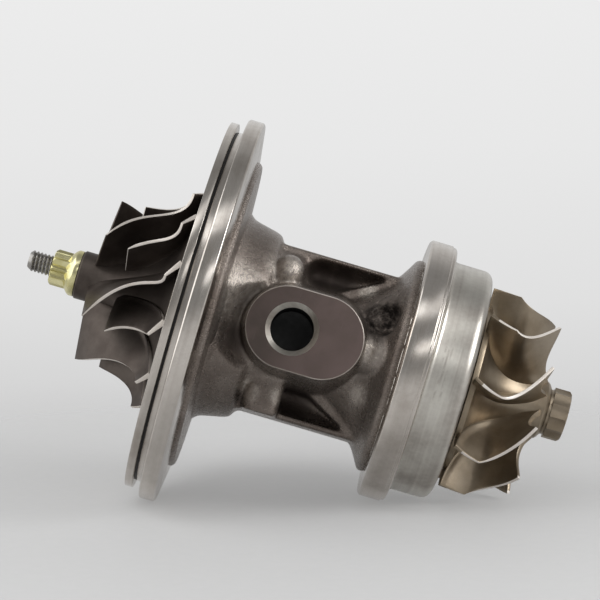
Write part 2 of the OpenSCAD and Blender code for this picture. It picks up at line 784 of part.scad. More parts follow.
// Floating bush with oil holes and chamfered ends
module bush(x) {
  color("darkgoldenrod")
    difference() {
      turned([
        [journal_r + journal_gap, x], [bush_r - 0.4, x], [bush_r, x + 0.4],
        [bush_r, x + bush_len - 0.4], [bush_r - 0.4, x + bush_len],
        [journal_r + journal_gap, x + bush_len]
      ]);
      around(6, 0)
        translate([x + bush_len / 2, 0, 0])
          cylinder(r = 1.1, h = bush_r + 1);
    }
}

module compressor_bush() {
  bush(bush_a_x);
}

module turbine_bush() {
  bush(bush_b_x);
}

module rotor_shaft() {
  color("silver")
    turned([
      [0, shaft_end_x], [thread_r - 0.9, shaft_end_x], [thread_r, shaft_end_x + 0.9],
      [thread_r, comp_nose_x + 2], [stub_r, comp_nose_x + 2.6], [stub_r, shoulder_x],
      [journal_r, shoulder_x], [journal_r, catch_x + 2], [seal_hub_r - 1, catch_end_x - 2],
      [seal_hub_r, catch_end_x], [seal_hub_r, turb_groove_x],
      [seal_hub_r - groove_depth, turb_groove_x],
      [seal_hub_r - groove_depth, turb_groove_x + groove_w],
      [seal_hub_r, turb_groove_x + groove_w], [seal_hub_r, weld_x], [0, weld_x]
    ]);
}

module turbine_wheel() {
  color("peru")
    union() {
      turned(concat(
        [[0, weld_x], [seal_hub_r, weld_x], [seal_hub_r, turb_x - 0.5]],
        [[turb_disc_d / 2, turb_x], [turb_disc_d / 2, turb_x + 1.4]],
        [for (i = [5:20]) let (m = turb_root(i / 20)) if (m[1] < turb_disc_d / 2) [m[1], m[0]]],
        [[hub_r, turb_hub_x + 0.6], [drive_nose_d / 2 - 1.2, drive_x - 1]],
        [[drive_nose_d / 2 - 1.2, drive_x + 1], [0, drive_x + 1]]
      ));
      on_rotor()
        for (i = [0:turb_blades - 1])
          rotate(turb_phase + 360 * i / turb_blades)
            turb_blade(12, 4);
      translate([drive_x, 0, 0])
        on_rotor()
          intersection() {
            linear_extrude(drive_nose_len)
              rotate(19)
                twelve_point(drive_nose_d);
            cylinder(r1 = drive_nose_d / 2 + drive_nose_len - 0.7, r2 = drive_nose_d / 2 - 0.7, h = drive_nose_len);
          }
    }
}

// Spool that runs through the thrust bearing, with the rear thrust face
module thrust_collar() {
  color("silver")
    turned([
      [stub_r + slide_gap, thrust_x - thrust_gap], [spool_r, thrust_x - thrust_gap],
      [spool_r, thrust_end_x + thrust_gap], [thrust_face_r, thrust_end_x + thrust_gap],
      [thrust_face_r, shoulder_x], [stub_r + slide_gap, shoulder_x]
    ]);
}

// Collar from the wheel to the spool, with the ring groove and the front thrust face
module sealing_collar() {
  color("silver")
    turned([
      [stub_r + slide_gap, comp_back_x], [sealing_r, comp_back_x], [sealing_r, comp_groove_x],
      [sealing_r - groove_depth, comp_groove_x], [sealing_r - groove_depth, comp_groove_x + groove_w],
      [sealing_r, comp_groove_x + groove_w], [sealing_r, seat_x - 1.5], [sealing_r - 1.5, seat_x],
      [sealing_r - 1.5, thrust_x - thrust_gap - front_face_w],
      [thrust_face_r, thrust_x - thrust_gap - front_face_w], [thrust_face_r, thrust_x - thrust_gap],
      [stub_r + slide_gap, thrust_x - thrust_gap]
    ]);
}

module compressor_wheel() {
  color("lightsteelblue")
    union() {
      turned(concat(
        [[stub_r + slide_gap, comp_back_x], [stub_r + slide_gap, comp_nose_x], [nose_r - 0.7, comp_nose_x]],
        [[nose_r, comp_nose_x + 0.7]],
        [for (i = [0:20]) let (m = comp_hub(i / 20)) [m[1], m[0]]],
        [[comp_r, comp_back_x]]
      ));
      on_rotor()
        for (i = [0:comp_blades - 1]) {
          rotate(comp_phase + 360 * i / comp_blades)
            comp_blade(0, 0, 13, 4);
          rotate(comp_phase + 360 * (i + 0.5) / comp_blades)
            comp_blade(splitter_root_at, splitter_tip_at, 10, 4);
        }
    }
}

module lock_nut() {
  color("khaki")
    difference() {
      union() {
        turned([
          [0, nut_x + 0.5], [nut_d / 2 - 0.5, nut_x + 0.5], [nut_d / 2 - 0.5, nut_x + nut_head_h],
          [nut_flange_d / 2 - 0.3, nut_x + nut_head_h + 1.8], [nut_flange_d / 2, nut_x + nut_head_h + 2.2],
          [nut_flange_d / 2, comp_nose_x], [0, comp_nose_x]
        ]);
        translate([nut_x, 0, 0])
          on_rotor()
            intersection() {
              linear_extrude(nut_head_h + 0.6)
                twelve_point(nut_d);
              cylinder(r1 = nut_d / 2 - 0.7, r2 = nut_d / 2 - 0.7 + nut_head_h + 0.6, h = nut_head_h + 0.6);
            }
      }
      bar(thread_r + slide_gap, nut_x - 1, comp_nose_x + 1);
    }
}

bearing_housing();
compressor_backplate();
backplate_seal_ring();
backplate_screws();
housing_o_ring();
thrust_bearing();
thrust_bearing_screws();
oil_deflector();
bush_circlips();
heat_shield();
compressor_piston_ring();
turbine_piston_ring();
compressor_bush();
turbine_bush();
rotor_shaft();
turbine_wheel();
thrust_collar();
sealing_collar();
compressor_wheel();
lock_nut();
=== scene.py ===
# %% [markdown]
# # A turbo cartridge, dressed for the camera
# The cartridge is the heart of a turbo: a cast housing with a spinning rotor in it.
# On the left is the compressor wheel, on the right the turbine wheel.
# The fixed frame comes from the exact solids. This lesson models finer pieces in their place,
# gives each a finish made from nodes, and lights the whole on a pale table.

# %% Load the frame
import math

import bpy
from mathutils import Matrix, Vector


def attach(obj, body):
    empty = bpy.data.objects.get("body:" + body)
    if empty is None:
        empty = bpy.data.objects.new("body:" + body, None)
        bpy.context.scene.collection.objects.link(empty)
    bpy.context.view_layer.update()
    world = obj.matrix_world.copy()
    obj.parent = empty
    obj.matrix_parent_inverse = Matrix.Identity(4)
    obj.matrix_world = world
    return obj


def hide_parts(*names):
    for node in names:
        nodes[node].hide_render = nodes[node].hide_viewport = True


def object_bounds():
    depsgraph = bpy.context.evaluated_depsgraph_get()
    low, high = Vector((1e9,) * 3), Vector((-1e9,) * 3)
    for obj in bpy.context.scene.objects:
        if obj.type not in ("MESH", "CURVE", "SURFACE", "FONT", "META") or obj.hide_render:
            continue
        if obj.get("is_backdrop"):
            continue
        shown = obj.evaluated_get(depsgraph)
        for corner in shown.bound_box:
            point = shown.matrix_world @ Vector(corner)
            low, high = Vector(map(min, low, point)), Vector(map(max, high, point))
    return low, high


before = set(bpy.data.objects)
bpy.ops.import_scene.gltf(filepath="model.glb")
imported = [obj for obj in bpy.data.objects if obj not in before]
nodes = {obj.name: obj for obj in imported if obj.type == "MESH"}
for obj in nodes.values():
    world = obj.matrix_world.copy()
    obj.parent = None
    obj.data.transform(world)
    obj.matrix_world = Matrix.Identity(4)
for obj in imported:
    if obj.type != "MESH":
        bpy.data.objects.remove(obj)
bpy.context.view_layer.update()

MM = 0.001

# %% [markdown]
# ## The camera
# The photograph was taken with a long lens from the feed pad's side, with the rotor axis
# leaning down to the right. The cartridge is turned 3.8 degrees about its own axis,
# so the camera is set out in a levelled frame first and then turned back into the part's frame.

# %% Camera
AXIS_TURN = math.radians(3.8)
ROLL = math.radians(16.4)
FOCAL_PIXELS = 2552.7


def from_level(v):
    """Turns a vector of the levelled frame back into the part's frame."""
    x, y, z = v
    c, s = math.cos(AXIS_TURN), math.sin(AXIS_TURN)
    return Vector((x, y * c - z * s, y * s + z * c))


eye = Vector((41.0, -876.0, 0.0)) * MM
aim = Vector((39.4, 0.0, 12.9)) * MM
ahead = (aim - eye).normalized()
level_right = ahead.cross(Vector((0, 0, 1))).normalized()
level_up = level_right.cross(ahead)
cam_right = from_level(level_right * math.cos(ROLL) + level_up * math.sin(ROLL))
cam_up = from_level(level_up * math.cos(ROLL) - level_right * math.sin(ROLL))
cam_ahead = from_level(ahead)

bpy.ops.object.camera_add()
camera = bpy.context.object
camera.name = "camera"
turn = Matrix((cam_right, cam_up, -cam_ahead)).transposed().to_4x4()
camera.matrix_world = Matrix.Translation(from_level(eye)) @ turn
camera.data.sensor_width = 36
camera.data.lens = 36 * FOCAL_PIXELS / 600
camera.data.clip_end = 10
bpy.context.scene.camera = camera
print("camera at", [round(v, 3) for v in camera.location], "lens", round(camera.data.lens, 1))

# %% [markdown]
# ## A small language for finishes
# Shader nodes read best as sums. `Wire` wraps one output socket, and every operator on it adds
# a Math node. `Bench` is a node tree in the making: its method `node` makes any other node,
# with the settings first and then the values or wires of its sockets. `Finish` is the bench of
# a material, with the place on the part at hand.

# %% Wires and finishes


def tint(red, green, blue):
    """A colour picked on a screen, as the linear values that a shader wants."""
    def linear(c):
        c /= 255
        return c / 12.92 if c <= 0.04045 else ((c + 0.055) / 1.055) ** 2.4
    return (linear(red), linear(green), linear(blue), 1.0)


class Wire:
    def __init__(self, bench, socket):
        self.bench, self.socket = bench, socket

    def math(self, operation, *values):
        return self.bench.node("ShaderNodeMath", {"operation": operation}, dict(enumerate(values)))

    def __add__(self, other):
        return self.math("ADD", self, other)

    def __radd__(self, other):
        return self.math("ADD", other, self)

    def __sub__(self, other):
        return self.math("SUBTRACT", self, other)

    def __rsub__(self, other):
        return self.math("SUBTRACT", other, self)

    def __mul__(self, other):
        return self.math("MULTIPLY", self, other)

    def __rmul__(self, other):
        return self.math("MULTIPLY", other, self)

    def __truediv__(self, other):
        return self.math("DIVIDE", self, other)

    def __pow__(self, other):
        return self.math("POWER", self, other)

    def __gt__(self, other):
        return self.math("GREATER_THAN", self, other)

    def __lt__(self, other):
        return self.math("LESS_THAN", self, other)

    def __abs__(self):
        return self.math("ABSOLUTE", self)

    def step(self, low, high):
        """0 below low, 1 above high, and a soft rise between."""
        return self.bench.node(
            "ShaderNodeMapRange", {"interpolation_type": "SMOOTHSTEP"},
            {"Value": self, "From Min": low, "From Max": high})


class Bench:
    def __init__(self, owner):
        owner.use_nodes = True
        self.tree = owner.node_tree
        self.tree.nodes.clear()

    def node(self, kind, settings=None, sockets=None, out=0):
        made = self.tree.nodes.new(kind)
        for key, value in (settings or {}).items():
            if key == "stops":
                ramp = made.color_ramp.elements
                while len(ramp) < len(value):
                    ramp.new(0.5)
                for stop, (at, colour) in zip(ramp, value):
                    stop.position, stop.color = at, colour
            else:
                setattr(made, key, value)
        for key, value in (sockets or {}).items():
            if isinstance(value, Wire):
                self.tree.links.new(value.socket, made.inputs[key])
            else:
                made.inputs[key].default_value = value
        return Wire(self, made.outputs[out])

    def vector(self, x, y, z):
        return self.node("ShaderNodeCombineXYZ", {}, {0: x, 1: y, 2: z})

    def blend(self, share, low, high):
        return self.node("ShaderNodeMix", {"data_type": "RGBA"}, {0: share, 6: low, 7: high}, out=2)


class Finish(Bench):
    def __init__(self, name):
        self.material = bpy.data.materials.new(name)
        super().__init__(self.material)
        self.place = self.node("ShaderNodeTexCoord", out="Object")
        self.x, self.y, self.z = (
            self.node("ShaderNodeSeparateXYZ", {}, {0: self.place}, out=axis) for axis in range(3))

    def noise(self, size, detail=3.0, rough=0.55, at=None):
        """A cloud whose lumps are about this many millimetres across."""
        return self.node("ShaderNodeTexNoise", {}, {
            "Vector": at or self.place, "Scale": 1000 / size if at is None else 1 / size,
            "Detail": detail, "Roughness": rough})

    def bump(self, height, depth, normal=None):
        """Height from 0 to 1 becomes relief of this many millimetres."""
        sockets = {"Height": height, "Distance": depth * MM, "Strength": 1.0}
        if normal:
            sockets["Normal"] = normal
        return self.node("ShaderNodeBump", {}, sockets)

    def near(self, point, inner, outer):
        """1 near a point in millimetres, falling to 0 between the two distances."""
        gap = self.node("ShaderNodeVectorMath", {"operation": "DISTANCE"},
                        {0: self.place, 1: Vector(point) * MM}, out="Value")
        return 1 - gap.step(inner * MM, outer * MM)

    def around(self):
        """Distance from the rotor axis, and the direction around it."""
        r = (self.y * self.y + self.z * self.z) ** 0.5 + 1e-6
        return r, self.y / r, self.z / r

    def done(self, **sockets):
        names = {key.replace("_", " ").title(): value for key, value in sockets.items()}
        if "Ior" in names:
            names["IOR"] = names.pop("Ior")
        shader = self.node("ShaderNodeBsdfPrincipled", {}, names)
        self.tree.links.new(shader.socket, self.tree.nodes.new("ShaderNodeOutputMaterial").inputs["Surface"])
        return self.material


print("finishes can be written as sums")

# %% [markdown]
# ## Cast iron
# The housing is a sand casting, blasted and then darkened by an oxide. Up close it has a fine
# grain, soft lumps from the sand, and brown and grey clouds. The hollows get painted shade, darker
# and a little rougher, and the ridges and bosses that stand out get painted highlights, mottled by
# the grain. In the dent in the cone, beside the rib, the skin is blotched much darker and rougher.

# %% Finish: cast iron
# Spots of painted highlight on the ridges and bosses that catch the lamps: centre and reach in mm.
HIGHLIGHT_SPOTS = ((19, -33, 7, 9), (33, -27, 19, 6), (31, -22, -23, 3.6), (42, -22, -22, 3), (66, -34.4, 0, 4.6),
        (66.5, -25, -15, 3.6), (61, -13, 21, 3))
# Spots of painted shade in the hollows: centre and reach in mm.
SHADE_SPOTS = ((26, -25, 5, 6.5), (24.5, -25.5, -6, 5), (44, -5, 23, 5), (51, -5, 23.5, 4.5), (47, -7, -20, 6))


def gathered(skin, spots, soft):
    """The strongest of some round spots, each with its centre and reach in millimetres."""
    total = None
    for x, y, z, reach in spots:
        spot = skin.near((x, y, z), reach * (1 - soft), reach * (1 + soft))
        total = spot if total is None else total.math("MAXIMUM", total, spot)
    return total


cast = Finish("cast_iron")
lumps = cast.noise(7, 2)
sand = cast.noise(1.6, 4, 0.65)
grain = cast.noise(0.45, 3, 0.7)
clouds = cast.noise(17, 3)
# Painted highlights on the ridges and bosses, mottled by the sand.
painted_highlight = gathered(cast, HIGHLIGHT_SPOTS, 0.6) * (sand.step(0.3, 0.62) * 0.7 + 0.3)
# Painted shade in the hollows, which are also made rougher below.
painted_shade = gathered(cast, SHADE_SPOTS, 0.55)
# Blotches in the dent in the cone, beside the rib: much darker, rougher and in higher relief.
dent_blotches = cast.near((67, -25, 13), 5, 10.5) * cast.noise(3.6, 5, 0.75).step(0.36, 0.62)
brown = cast.blend(clouds.step(0.35, 0.68), tint(112, 102, 95), tint(134, 125, 118))
# Lighter where the painted highlights lie, and in the specks of the grain.
highlight_and_grain = cast.blend(painted_highlight * 0.8 + grain.step(0.55, 0.8) * 0.2, brown, tint(196, 188, 179))
# Darker where the painted shade lies in the hollows.
with_painted_shade = cast.blend(painted_shade * 0.7, highlight_and_grain, tint(54, 46, 43))
relief = lumps * 0.34 + sand * 0.36 + grain * 0.3
cast_iron = cast.done(
    base_color=cast.blend(dent_blotches, with_painted_shade, tint(32, 26, 23)), metallic=0.75,
    roughness=0.28 - painted_highlight * 0.04 + (sand - 0.5) * 0.16 + dent_blotches * 0.3 + painted_shade * 0.2,
    normal=cast.bump(relief + dent_blotches * sand * 1.4, 0.65))
print("finish:", cast_iron.name)

# %% [markdown]
# ## Milled iron
# The two oil faces were milled flat before the oxide went on. They are smooth and brown, lighter
# and redder toward the turbine end and in faint clouds, with fine scratches from the cutter.

# %% Finish: milled iron and the painted shade of the bore
mill = Finish("milled_iron")
strokes = mill.noise(0.5, 3, 0.6, mill.vector(mill.x * 1000, mill.y * 1000, mill.z * 60))
haze = mill.noise(12, 3)
red_share = haze.step(0.35, 0.65) * 0.4 + mill.x.step(0.03, 0.06) * 0.6
face_colour = mill.blend(red_share, tint(78, 68, 63), tint(106, 91, 87))
milled_iron = mill.done(
    base_color=mill.blend(strokes.step(0.62, 0.8) * 0.25, face_colour, tint(150, 144, 138)), metallic=0.45,
    roughness=0.42 + (strokes - 0.5) * 0.12, normal=mill.bump(strokes * 0.7 + haze * 0.3, 0.012))

# The thread in the feed bore is painted nearly black: painted shade for the inside of the hole, with an oil
# film's faint mottle.
oil = Finish("bore_oil_and_painted_shade")
film = oil.noise(1.4, 3)
bore_oil_and_painted_shade = oil.done(
    base_color=oil.blend(film, tint(9, 8, 8), tint(20, 18, 17)), roughness=0.5 + (film - 0.5) * 0.3,
    normal=oil.bump(film, 0.02))
print("finishes:", milled_iron.name, bore_oil_and_painted_shade.name)

# %% [markdown]
# ## Turned metal
# The flanges come off a lathe, so their finish is a spiral of fine lines around the rotor axis.
# The lines follow x plus the radius: that runs along a cylinder and outward across a face alike.
# The direction around the axis only breaks the lines up, so there is no seam.

# %% Finish: turned metal


def turned_metal(name, colour, stain, gloss, lines, marks=None):
    """Lathe finish: base colour, colour of its stains, roughness and depth of the lines in mm."""
    metal = Finish(name)
    r, cy, cz = metal.around()
    along = (metal.x + r) * 1000
    fine = metal.noise(0.16, 3, 0.6, metal.vector(along, cy * 0.5, cz * 0.5))
    bands = metal.noise(1.6, 3, 0.6, metal.vector(along, cy * 0.9, cz * 0.9))
    patina = metal.noise(14, 4)
    streaks = metal.noise(0.9, 3, 0.6, metal.vector(along * 0.5, cy * 26, cz * 26))
    share = patina.step(0.4, 0.75) * 0.55 + (bands - 0.5) * 0.9 + (streaks - 0.5) * 0.5 + 0.15
    # Marks, where a finish has them, can hold painted shade as well as scuffs.
    if marks:
        share = share.math("MAXIMUM", share, marks(metal))
    shade = metal.blend(share.math("MINIMUM", share.math("MAXIMUM", share, 0.0), 1.0), colour, stain)
    return metal.done(
        base_color=shade, metallic=1.0, roughness=gloss + (fine - 0.5) * 0.14 + share * 0.1,
        normal=metal.bump(fine * 0.6 + bands * 0.4, lines))


machined_steel = turned_metal("machined_steel", tint(208, 202, 195), tint(170, 162, 153), 0.16, 0.01)
shaft_steel = turned_metal("shaft_steel", tint(170, 168, 164), tint(116, 110, 104), 0.3, 0.008)
spring_steel = turned_metal("spring_steel", tint(120, 120, 124), tint(80, 78, 80), 0.35, 0.006)
bronze = turned_metal("bronze", tint(196, 150, 92), tint(140, 98, 58), 0.34, 0.01)
print("finishes:", machined_steel.name, shaft_steel.name, spring_steel.name, bronze.name)

# %% [markdown]
# ## The drawn shield
# The heat shield is drawn from bright stainless sheet. Fitting left a few soft dark scuffs that run
# around its wall, on the side that faces the camera. Along the bend of its nose runs a line of painted shade.

# %% Finish: stainless with scuffs and painted shade
SCUFFS = ((89.9, 7.5, 6.0), (91.0, 3.0, 8.5), (92.0, 9.0, 5.0), (92.4, -3.5, 6.5), (90.4, -6.0, 4.5))


def scuffs(metal):
    """Faint marks at x in mm, z in mm and with this half length around the wall, and a line of painted shade
    along the bend of the nose.
    """
    soft = metal.noise(2.6, 3)
    total = None
    for x, z, half in SCUFFS:
        across = abs(metal.x - x * MM) * 1000 + (soft - 0.5) * 1.2
        reach = abs(metal.z - z * MM) * 1000
        mark = (1 - across.step(0.1, 0.8)) * (1 - reach.step(half * 0.3, half * 1.2))
        total = mark if total is None else total + mark
    # A line of painted shade along the bend of the nose, on the side that faces the camera.
    from_bend = abs(metal.x - 95.5 * MM) * 1000
    from_middle = abs(metal.z - 2 * MM) * 1000
    bend_painted_shade = (1 - from_bend.step(0.15, 0.7)) * (1 - from_middle.step(7, 13))
    return (total * soft.step(0.35, 0.65) * 0.8 + bend_painted_shade * 0.5) * (metal.y < 0.0)


stainless = turned_metal("stainless", tint(206, 203, 195), tint(156, 148, 141), 0.3, 0.01, scuffs)
print("finish:", stainless.name, "with", len(SCUFFS), "scuffs")

# %% [markdown]
# ## The wheels, the nut and the rubber
# The compressor wheel is milled aluminium. Its dark colour is painted reflection: it stands in for the
# dark that its blades mirror of each other. Its tips are bright where the contour was turned. The turbine
# wheel is a cast nickel alloy with a warm brown skin. The nut is plated with yellow zinc, which shifts
# between olive and straw.

# %% Finish: wheels, nut and rubber


def blade_metal(name, dark, light, gloss, mill, metallic):
    """Skin of a blade: two shades in soft clouds, and fine lines left by the cutter or the mould."""
    skin = Finish(name)
    r, cy, cz = skin.around()
    cut = skin.noise(0.5, 3, 0.6, skin.vector(skin.x * 1000, r * 1000, cy * 1.5))
    cloud = skin.noise(8, 3)
    fine = skin.noise(0.35, 3, 0.6)
    share = cloud.step(0.3, 0.7) * 0.7 + (cut - 0.5) * 0.4
    return skin.done(
        base_color=skin.blend(share, dark, light), metallic=metallic,
        roughness=gloss + (fine - 0.5) * 0.16, normal=skin.bump(cut * 0.6 + fine * 0.4, mill))


# Painted reflection: the aluminium gets a dark colour for the dark that its blades mirror of each other.
wheel_aluminium = blade_metal("wheel_aluminium", tint(76, 68, 63), tint(100, 92, 86), 0.48, 0.02, 0.8)
wheel_alloy = blade_metal("wheel_alloy", tint(134, 121, 103), tint(158, 146, 129), 0.36, 0.03, 0.9)
bright_edge = blade_metal("bright_edge", tint(214, 206, 197), tint(232, 226, 219), 0.4, 0.006, 0.35)
# Lighter edge: bare metal from deburring, with a painted highlight.
edge_wear_and_highlight = blade_metal("edge_wear_and_highlight", tint(150, 142, 134), tint(196, 188, 180), 0.4, 0.006, 0.6)
zinc_yellow = blade_metal("zinc_yellow", tint(204, 196, 138), tint(238, 233, 192), 0.24, 0.01, 1.0)

rubber = Finish("black_rubber")
skin = rubber.noise(0.6, 3)
black_rubber = rubber.done(
    base_color=rubber.blend(skin.step(0.35, 0.7), tint(14, 13, 13), tint(26, 25, 24)),
    roughness=0.55 + (skin - 0.5) * 0.2, normal=rubber.bump(skin, 0.02))
print("finishes:", wheel_aluminium.name, wheel_alloy.name, bright_edge.name, edge_wear_and_highlight.name,
      zinc_yellow.name, black_rubber.name)

# %% [markdown]
# ## Tools of the workshop
# A lathe part is an outline that is spun about an axis. The outline is drawn from given points: one vertex
# is extruded from point to point, then Spin sweeps it round. A Bevel modifier breaks the edges,
# because a real edge is never perfectly sharp and catches a thin line of light.
#
# All lengths are millimetres in the part's own frame. X runs along the rotor, from the compressor to
# the turbine. The feed pad faces -Y, and the drain faces +Y.

# %% Helpers for modelling
X, Y, Z = Vector((1, 0, 0)), Vector((0, 1, 0)), Vector((0, 0, 1))
SLIVER = 0.012
FEED_X = 39.7
PAD_X = 44
PAD_Y = -38
DRAIN_X = 53.5
DRAIN_Y = 38
DRAIN_BOLTS = (18, -18)


def only(piece):
    """Makes this the one selected piece."""
    bpy.ops.object.select_all(action="DESELECT")
    piece.select_set(True)
    bpy.context.view_layer.objects.active = piece


def settle(piece, kind, **settings):
    """Adds a modifier, sets it and applies it."""
    only(piece)
    bpy.ops.object.modifier_add(type=kind)
    modifier = piece.modifiers[-1]
    for key, value in settings.items():
        setattr(modifier, key, value)
    bpy.ops.object.modifier_apply(modifier=modifier.name)
    return piece


def break_edges(piece, width, segments=2, angle=28):
    return settle(piece, "BEVEL", width=width * MM, segments=segments, limit_method="ANGLE",
                  angle_limit=math.radians(angle))


def combine(piece, tool, operation):
    """Cuts with the tool, or keeps or adds what it holds, and throws the tool away."""
    settle(piece, "BOOLEAN", object=tool, operation=operation, solver="EXACT")
    bpy.data.objects.remove(tool)
    return piece


def cleaned(piece):
    """Melts slivers and specks that are too small to see, which cuts and melts leave behind."""
    only(piece)
    bpy.ops.object.mode_set(mode="EDIT")
    bpy.ops.mesh.select_all(action="SELECT")
    bpy.ops.mesh.dissolve_degenerate(threshold=SLIVER * MM)
    bpy.ops.mesh.select_all(action="SELECT")
    bpy.ops.mesh.delete_loose()
    bpy.ops.object.mode_set(mode="OBJECT")
    return piece


def joined(name, pieces):
    bpy.ops.object.select_all(action="DESELECT")
    for piece in pieces:
        piece.select_set(True)
    bpy.context.view_layer.objects.active = pieces[0]
    bpy.ops.object.join()
    pieces[0].name = name
    return pieces[0]


def turned(name, outline, steps=180, along=X, across=Z, foot=(0, 0, 0)):
    """Spins an outline of (distance along, radius) points, in millimetres, about a line."""
    place = [(Vector(foot) + along * a + across * r) * MM for a, r in outline]
    bpy.ops.object.select_all(action="DESELECT")
    bpy.ops.mesh.primitive_plane_add(size=MM)
    piece = bpy.context.object
    piece.name = name
    bpy.ops.object.mode_set(mode="EDIT")
    bpy.ops.mesh.select_all(action="SELECT")
    bpy.ops.mesh.merge(type="CENTER")
    bpy.ops.transform.translate(value=place[0])
    for here, there in zip(place, place[1:]):
        bpy.ops.mesh.extrude_region_move(TRANSFORM_OT_translate={"value": there - here})
    bpy.ops.mesh.select_all(action="SELECT")
    bpy.ops.mesh.spin(steps=steps, angle=math.tau, center=Vector(foot) * MM, axis=along)
    bpy.ops.mesh.select_all(action="SELECT")
    bpy.ops.mesh.remove_doubles(threshold=1e-6)
    bpy.ops.mesh.normals_make_consistent(inside=False)
    bpy.ops.object.mode_set(mode="OBJECT")
    return piece


def rod(name, radius, start, end, sides=64):
    """A round bar between two points in millimetres."""
    start, end = Vector(start) * MM, Vector(end) * MM
    bpy.ops.object.select_all(action="DESELECT")
    bpy.ops.mesh.primitive_cylinder_add(vertices=sides, radius=radius * MM, depth=(end - start).length,
                                        location=(start + end) / 2)
    piece = bpy.context.object
    piece.name = name
    piece.rotation_mode = "QUATERNION"
    piece.rotation_quaternion = Z.rotation_difference(end - start)
    bpy.ops.object.transform_apply(location=True, rotation=True, scale=True)
    return piece


def block(name, low, high):
    """A box between two corners in millimetres."""
    low, high = Vector(low) * MM, Vector(high) * MM
    bpy.ops.object.select_all(action="DESELECT")
    bpy.ops.mesh.primitive_cube_add(size=1, location=(low + high) / 2, scale=high - low)
    piece = bpy.context.object
    piece.name = name
    bpy.ops.object.transform_apply(location=True, rotation=True, scale=True)
    return piece


def stadium(name, centre, length, width, near, far, turn=0.0):
    """A bar with round ends whose long side lies in the xz plane, from y = near to y = far."""
    bpy.ops.object.select_all(action="DESELECT")
    bpy.ops.mesh.primitive_circle_add(vertices=96, radius=width / 2 * MM, fill_type="NGON",
                                      rotation=(math.pi / 2, 0, 0))
    piece = bpy.context.object
    piece.name = name
    bpy.ops.object.transform_apply(location=True, rotation=True, scale=True)
    for v in piece.data.vertices:
        v.co.x += math.copysign((length - width) / 2 * MM, v.co.x + 1e-7)
        v.co.x, v.co.z = (v.co.x * math.cos(turn) - v.co.z * math.sin(turn),
                          v.co.x * math.sin(turn) + v.co.z * math.cos(turn))
        v.co += Vector((centre[0], near, centre[1])) * MM
    bpy.ops.object.mode_set(mode="EDIT")
    bpy.ops.mesh.select_all(action="SELECT")
    bpy.ops.mesh.extrude_region_move(TRANSFORM_OT_translate={"value": (0, (far - near) * MM, 0)})
    bpy.ops.mesh.select_all(action="SELECT")
    bpy.ops.mesh.normals_make_consistent(inside=False)
    bpy.ops.object.mode_set(mode="OBJECT")
    return piece


def finished(piece, body, slot, replaced, *materials, smooth=30):
    """Gives a piece its materials and its place on a body."""
    cleaned(piece)
    bpy.ops.object.shade_smooth_by_angle(angle=math.radians(smooth))
    for material in materials:
        piece.data.materials.append(material)
    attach(piece, body)
    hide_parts(replaced)
    print("piece:", piece.name, len(piece.data.polygons), "faces")
    return piece


# %% [markdown]
# ## The compressor backplate
# It is one turned disc: a thin lip in front, a narrow slit with a black seal ring, a land, and the
# clamp rim with its sloped back. Six countersunk screws hold it, behind the wheel. The outline is
# spun in 256 steps, so that its round edge stays round in a close view.

# %% Backplate
backplate = turned("backplate_turned", [
    (0, 9.85), (0, 64.7), (2.6, 64.7), (2.6, 60), (3.5, 60), (3.5, 62), (5.6, 62), (5.6, 66.9), (6.1, 67.4),
    (10.7, 67.4), (11.2, 66.8), (12.5, 57), (12.5, 54.03), (9.8, 54.03), (9.8, 21.97), (12.6, 21.97),
    (12.6, 14.5), (9.8, 10.85), (8.8, 9.85), (0, 9.85)], steps=256)
break_edges(backplate, 0.18)
SCREW_RING = 28.2
for k in range(6):
    turn_k = math.radians(60 + 60 * k)
    centre = (0, -SCREW_RING * math.sin(turn_k), SCREW_RING * math.cos(turn_k))
    sink = turned("screw_sink", [
        (-1, 0), (-1, 5.03), (0.4, 5.03), (2.9, 2.53), (13.6, 2.53), (13.6, 0)], 32, foot=centre)
    combine(backplate, sink, "DIFFERENCE")
backplate.data.materials.clear()
finished(backplate, "housing", "machined_steel", "compressor_backplate", machined_steel)

# %% [markdown]
# ## The casting
# The cast body has no sharp corner anywhere: every inner corner was a fillet in the pattern, and
# blasting rounded the outer ones. It is easiest to pile up plain bars, blocks and balls, let a
# voxel Remesh melt them into one skin, carve the hollows, melt again and smooth the skin.

# %% Casting: the turned body, webs and bosses
VOXEL = 0.6
body = turned("housing_casting", [
    (11, 0), (11, 37.5), (15.2, 36.9), (16.4, 35.2), (18.2, 34.6), (25.6, 33.0), (27.6, 32.2), (29, 29.4),
    (37.5, 29), (38.6, 27), (39.6, 20.5), (41.5, 19), (52.2, 19), (60.2, 23.6), (67.6, 28), (70, 30.2),
    (72.4, 34), (74.2, 37.2), (74.8, 37.6), (76.8, 37.6), (76.8, 0)], steps=128)
melt = [body]
block_body = break_edges(block("block", (30.5, -23.5, -34), (42.7, -4, -8)), 3.2, 5)
combine(block_body, block("trim", (25, -30, -40), (48, 0, -29)), "DIFFERENCE")
melt.append(block_body)


def ball(name, centre, sizes, detail=32):
    """An egg with its centre and half sizes in millimetres."""
    bpy.ops.object.select_all(action="DESELECT")
    bpy.ops.mesh.primitive_uv_sphere_add(segments=detail, ring_count=detail // 2, radius=MM,
                                         location=Vector(centre) * MM, scale=sizes)
    piece = bpy.context.object
    piece.name = name
    bpy.ops.object.transform_apply(location=True, rotation=True, scale=True)
    return piece


def trough(web, start, end, y, z, depth, half):
    """Cuts a long hollow with a round end into a web, from x = start to x = end.

    Its middle line is at y and z. It is so deep along y, and reaches half up and half down along z.
    """
    bar = rod("web_hollow", half, (start, y, z), (end, y, z))
    tip = ball("web_hollow", (start, y, z), (half, half, half))
    for cutter in (bar, tip):
        for v in cutter.data.vertices:
            v.co.y = (v.co.y - y * MM) * depth / half + y * MM
        combine(web, cutter, "DIFFERENCE")


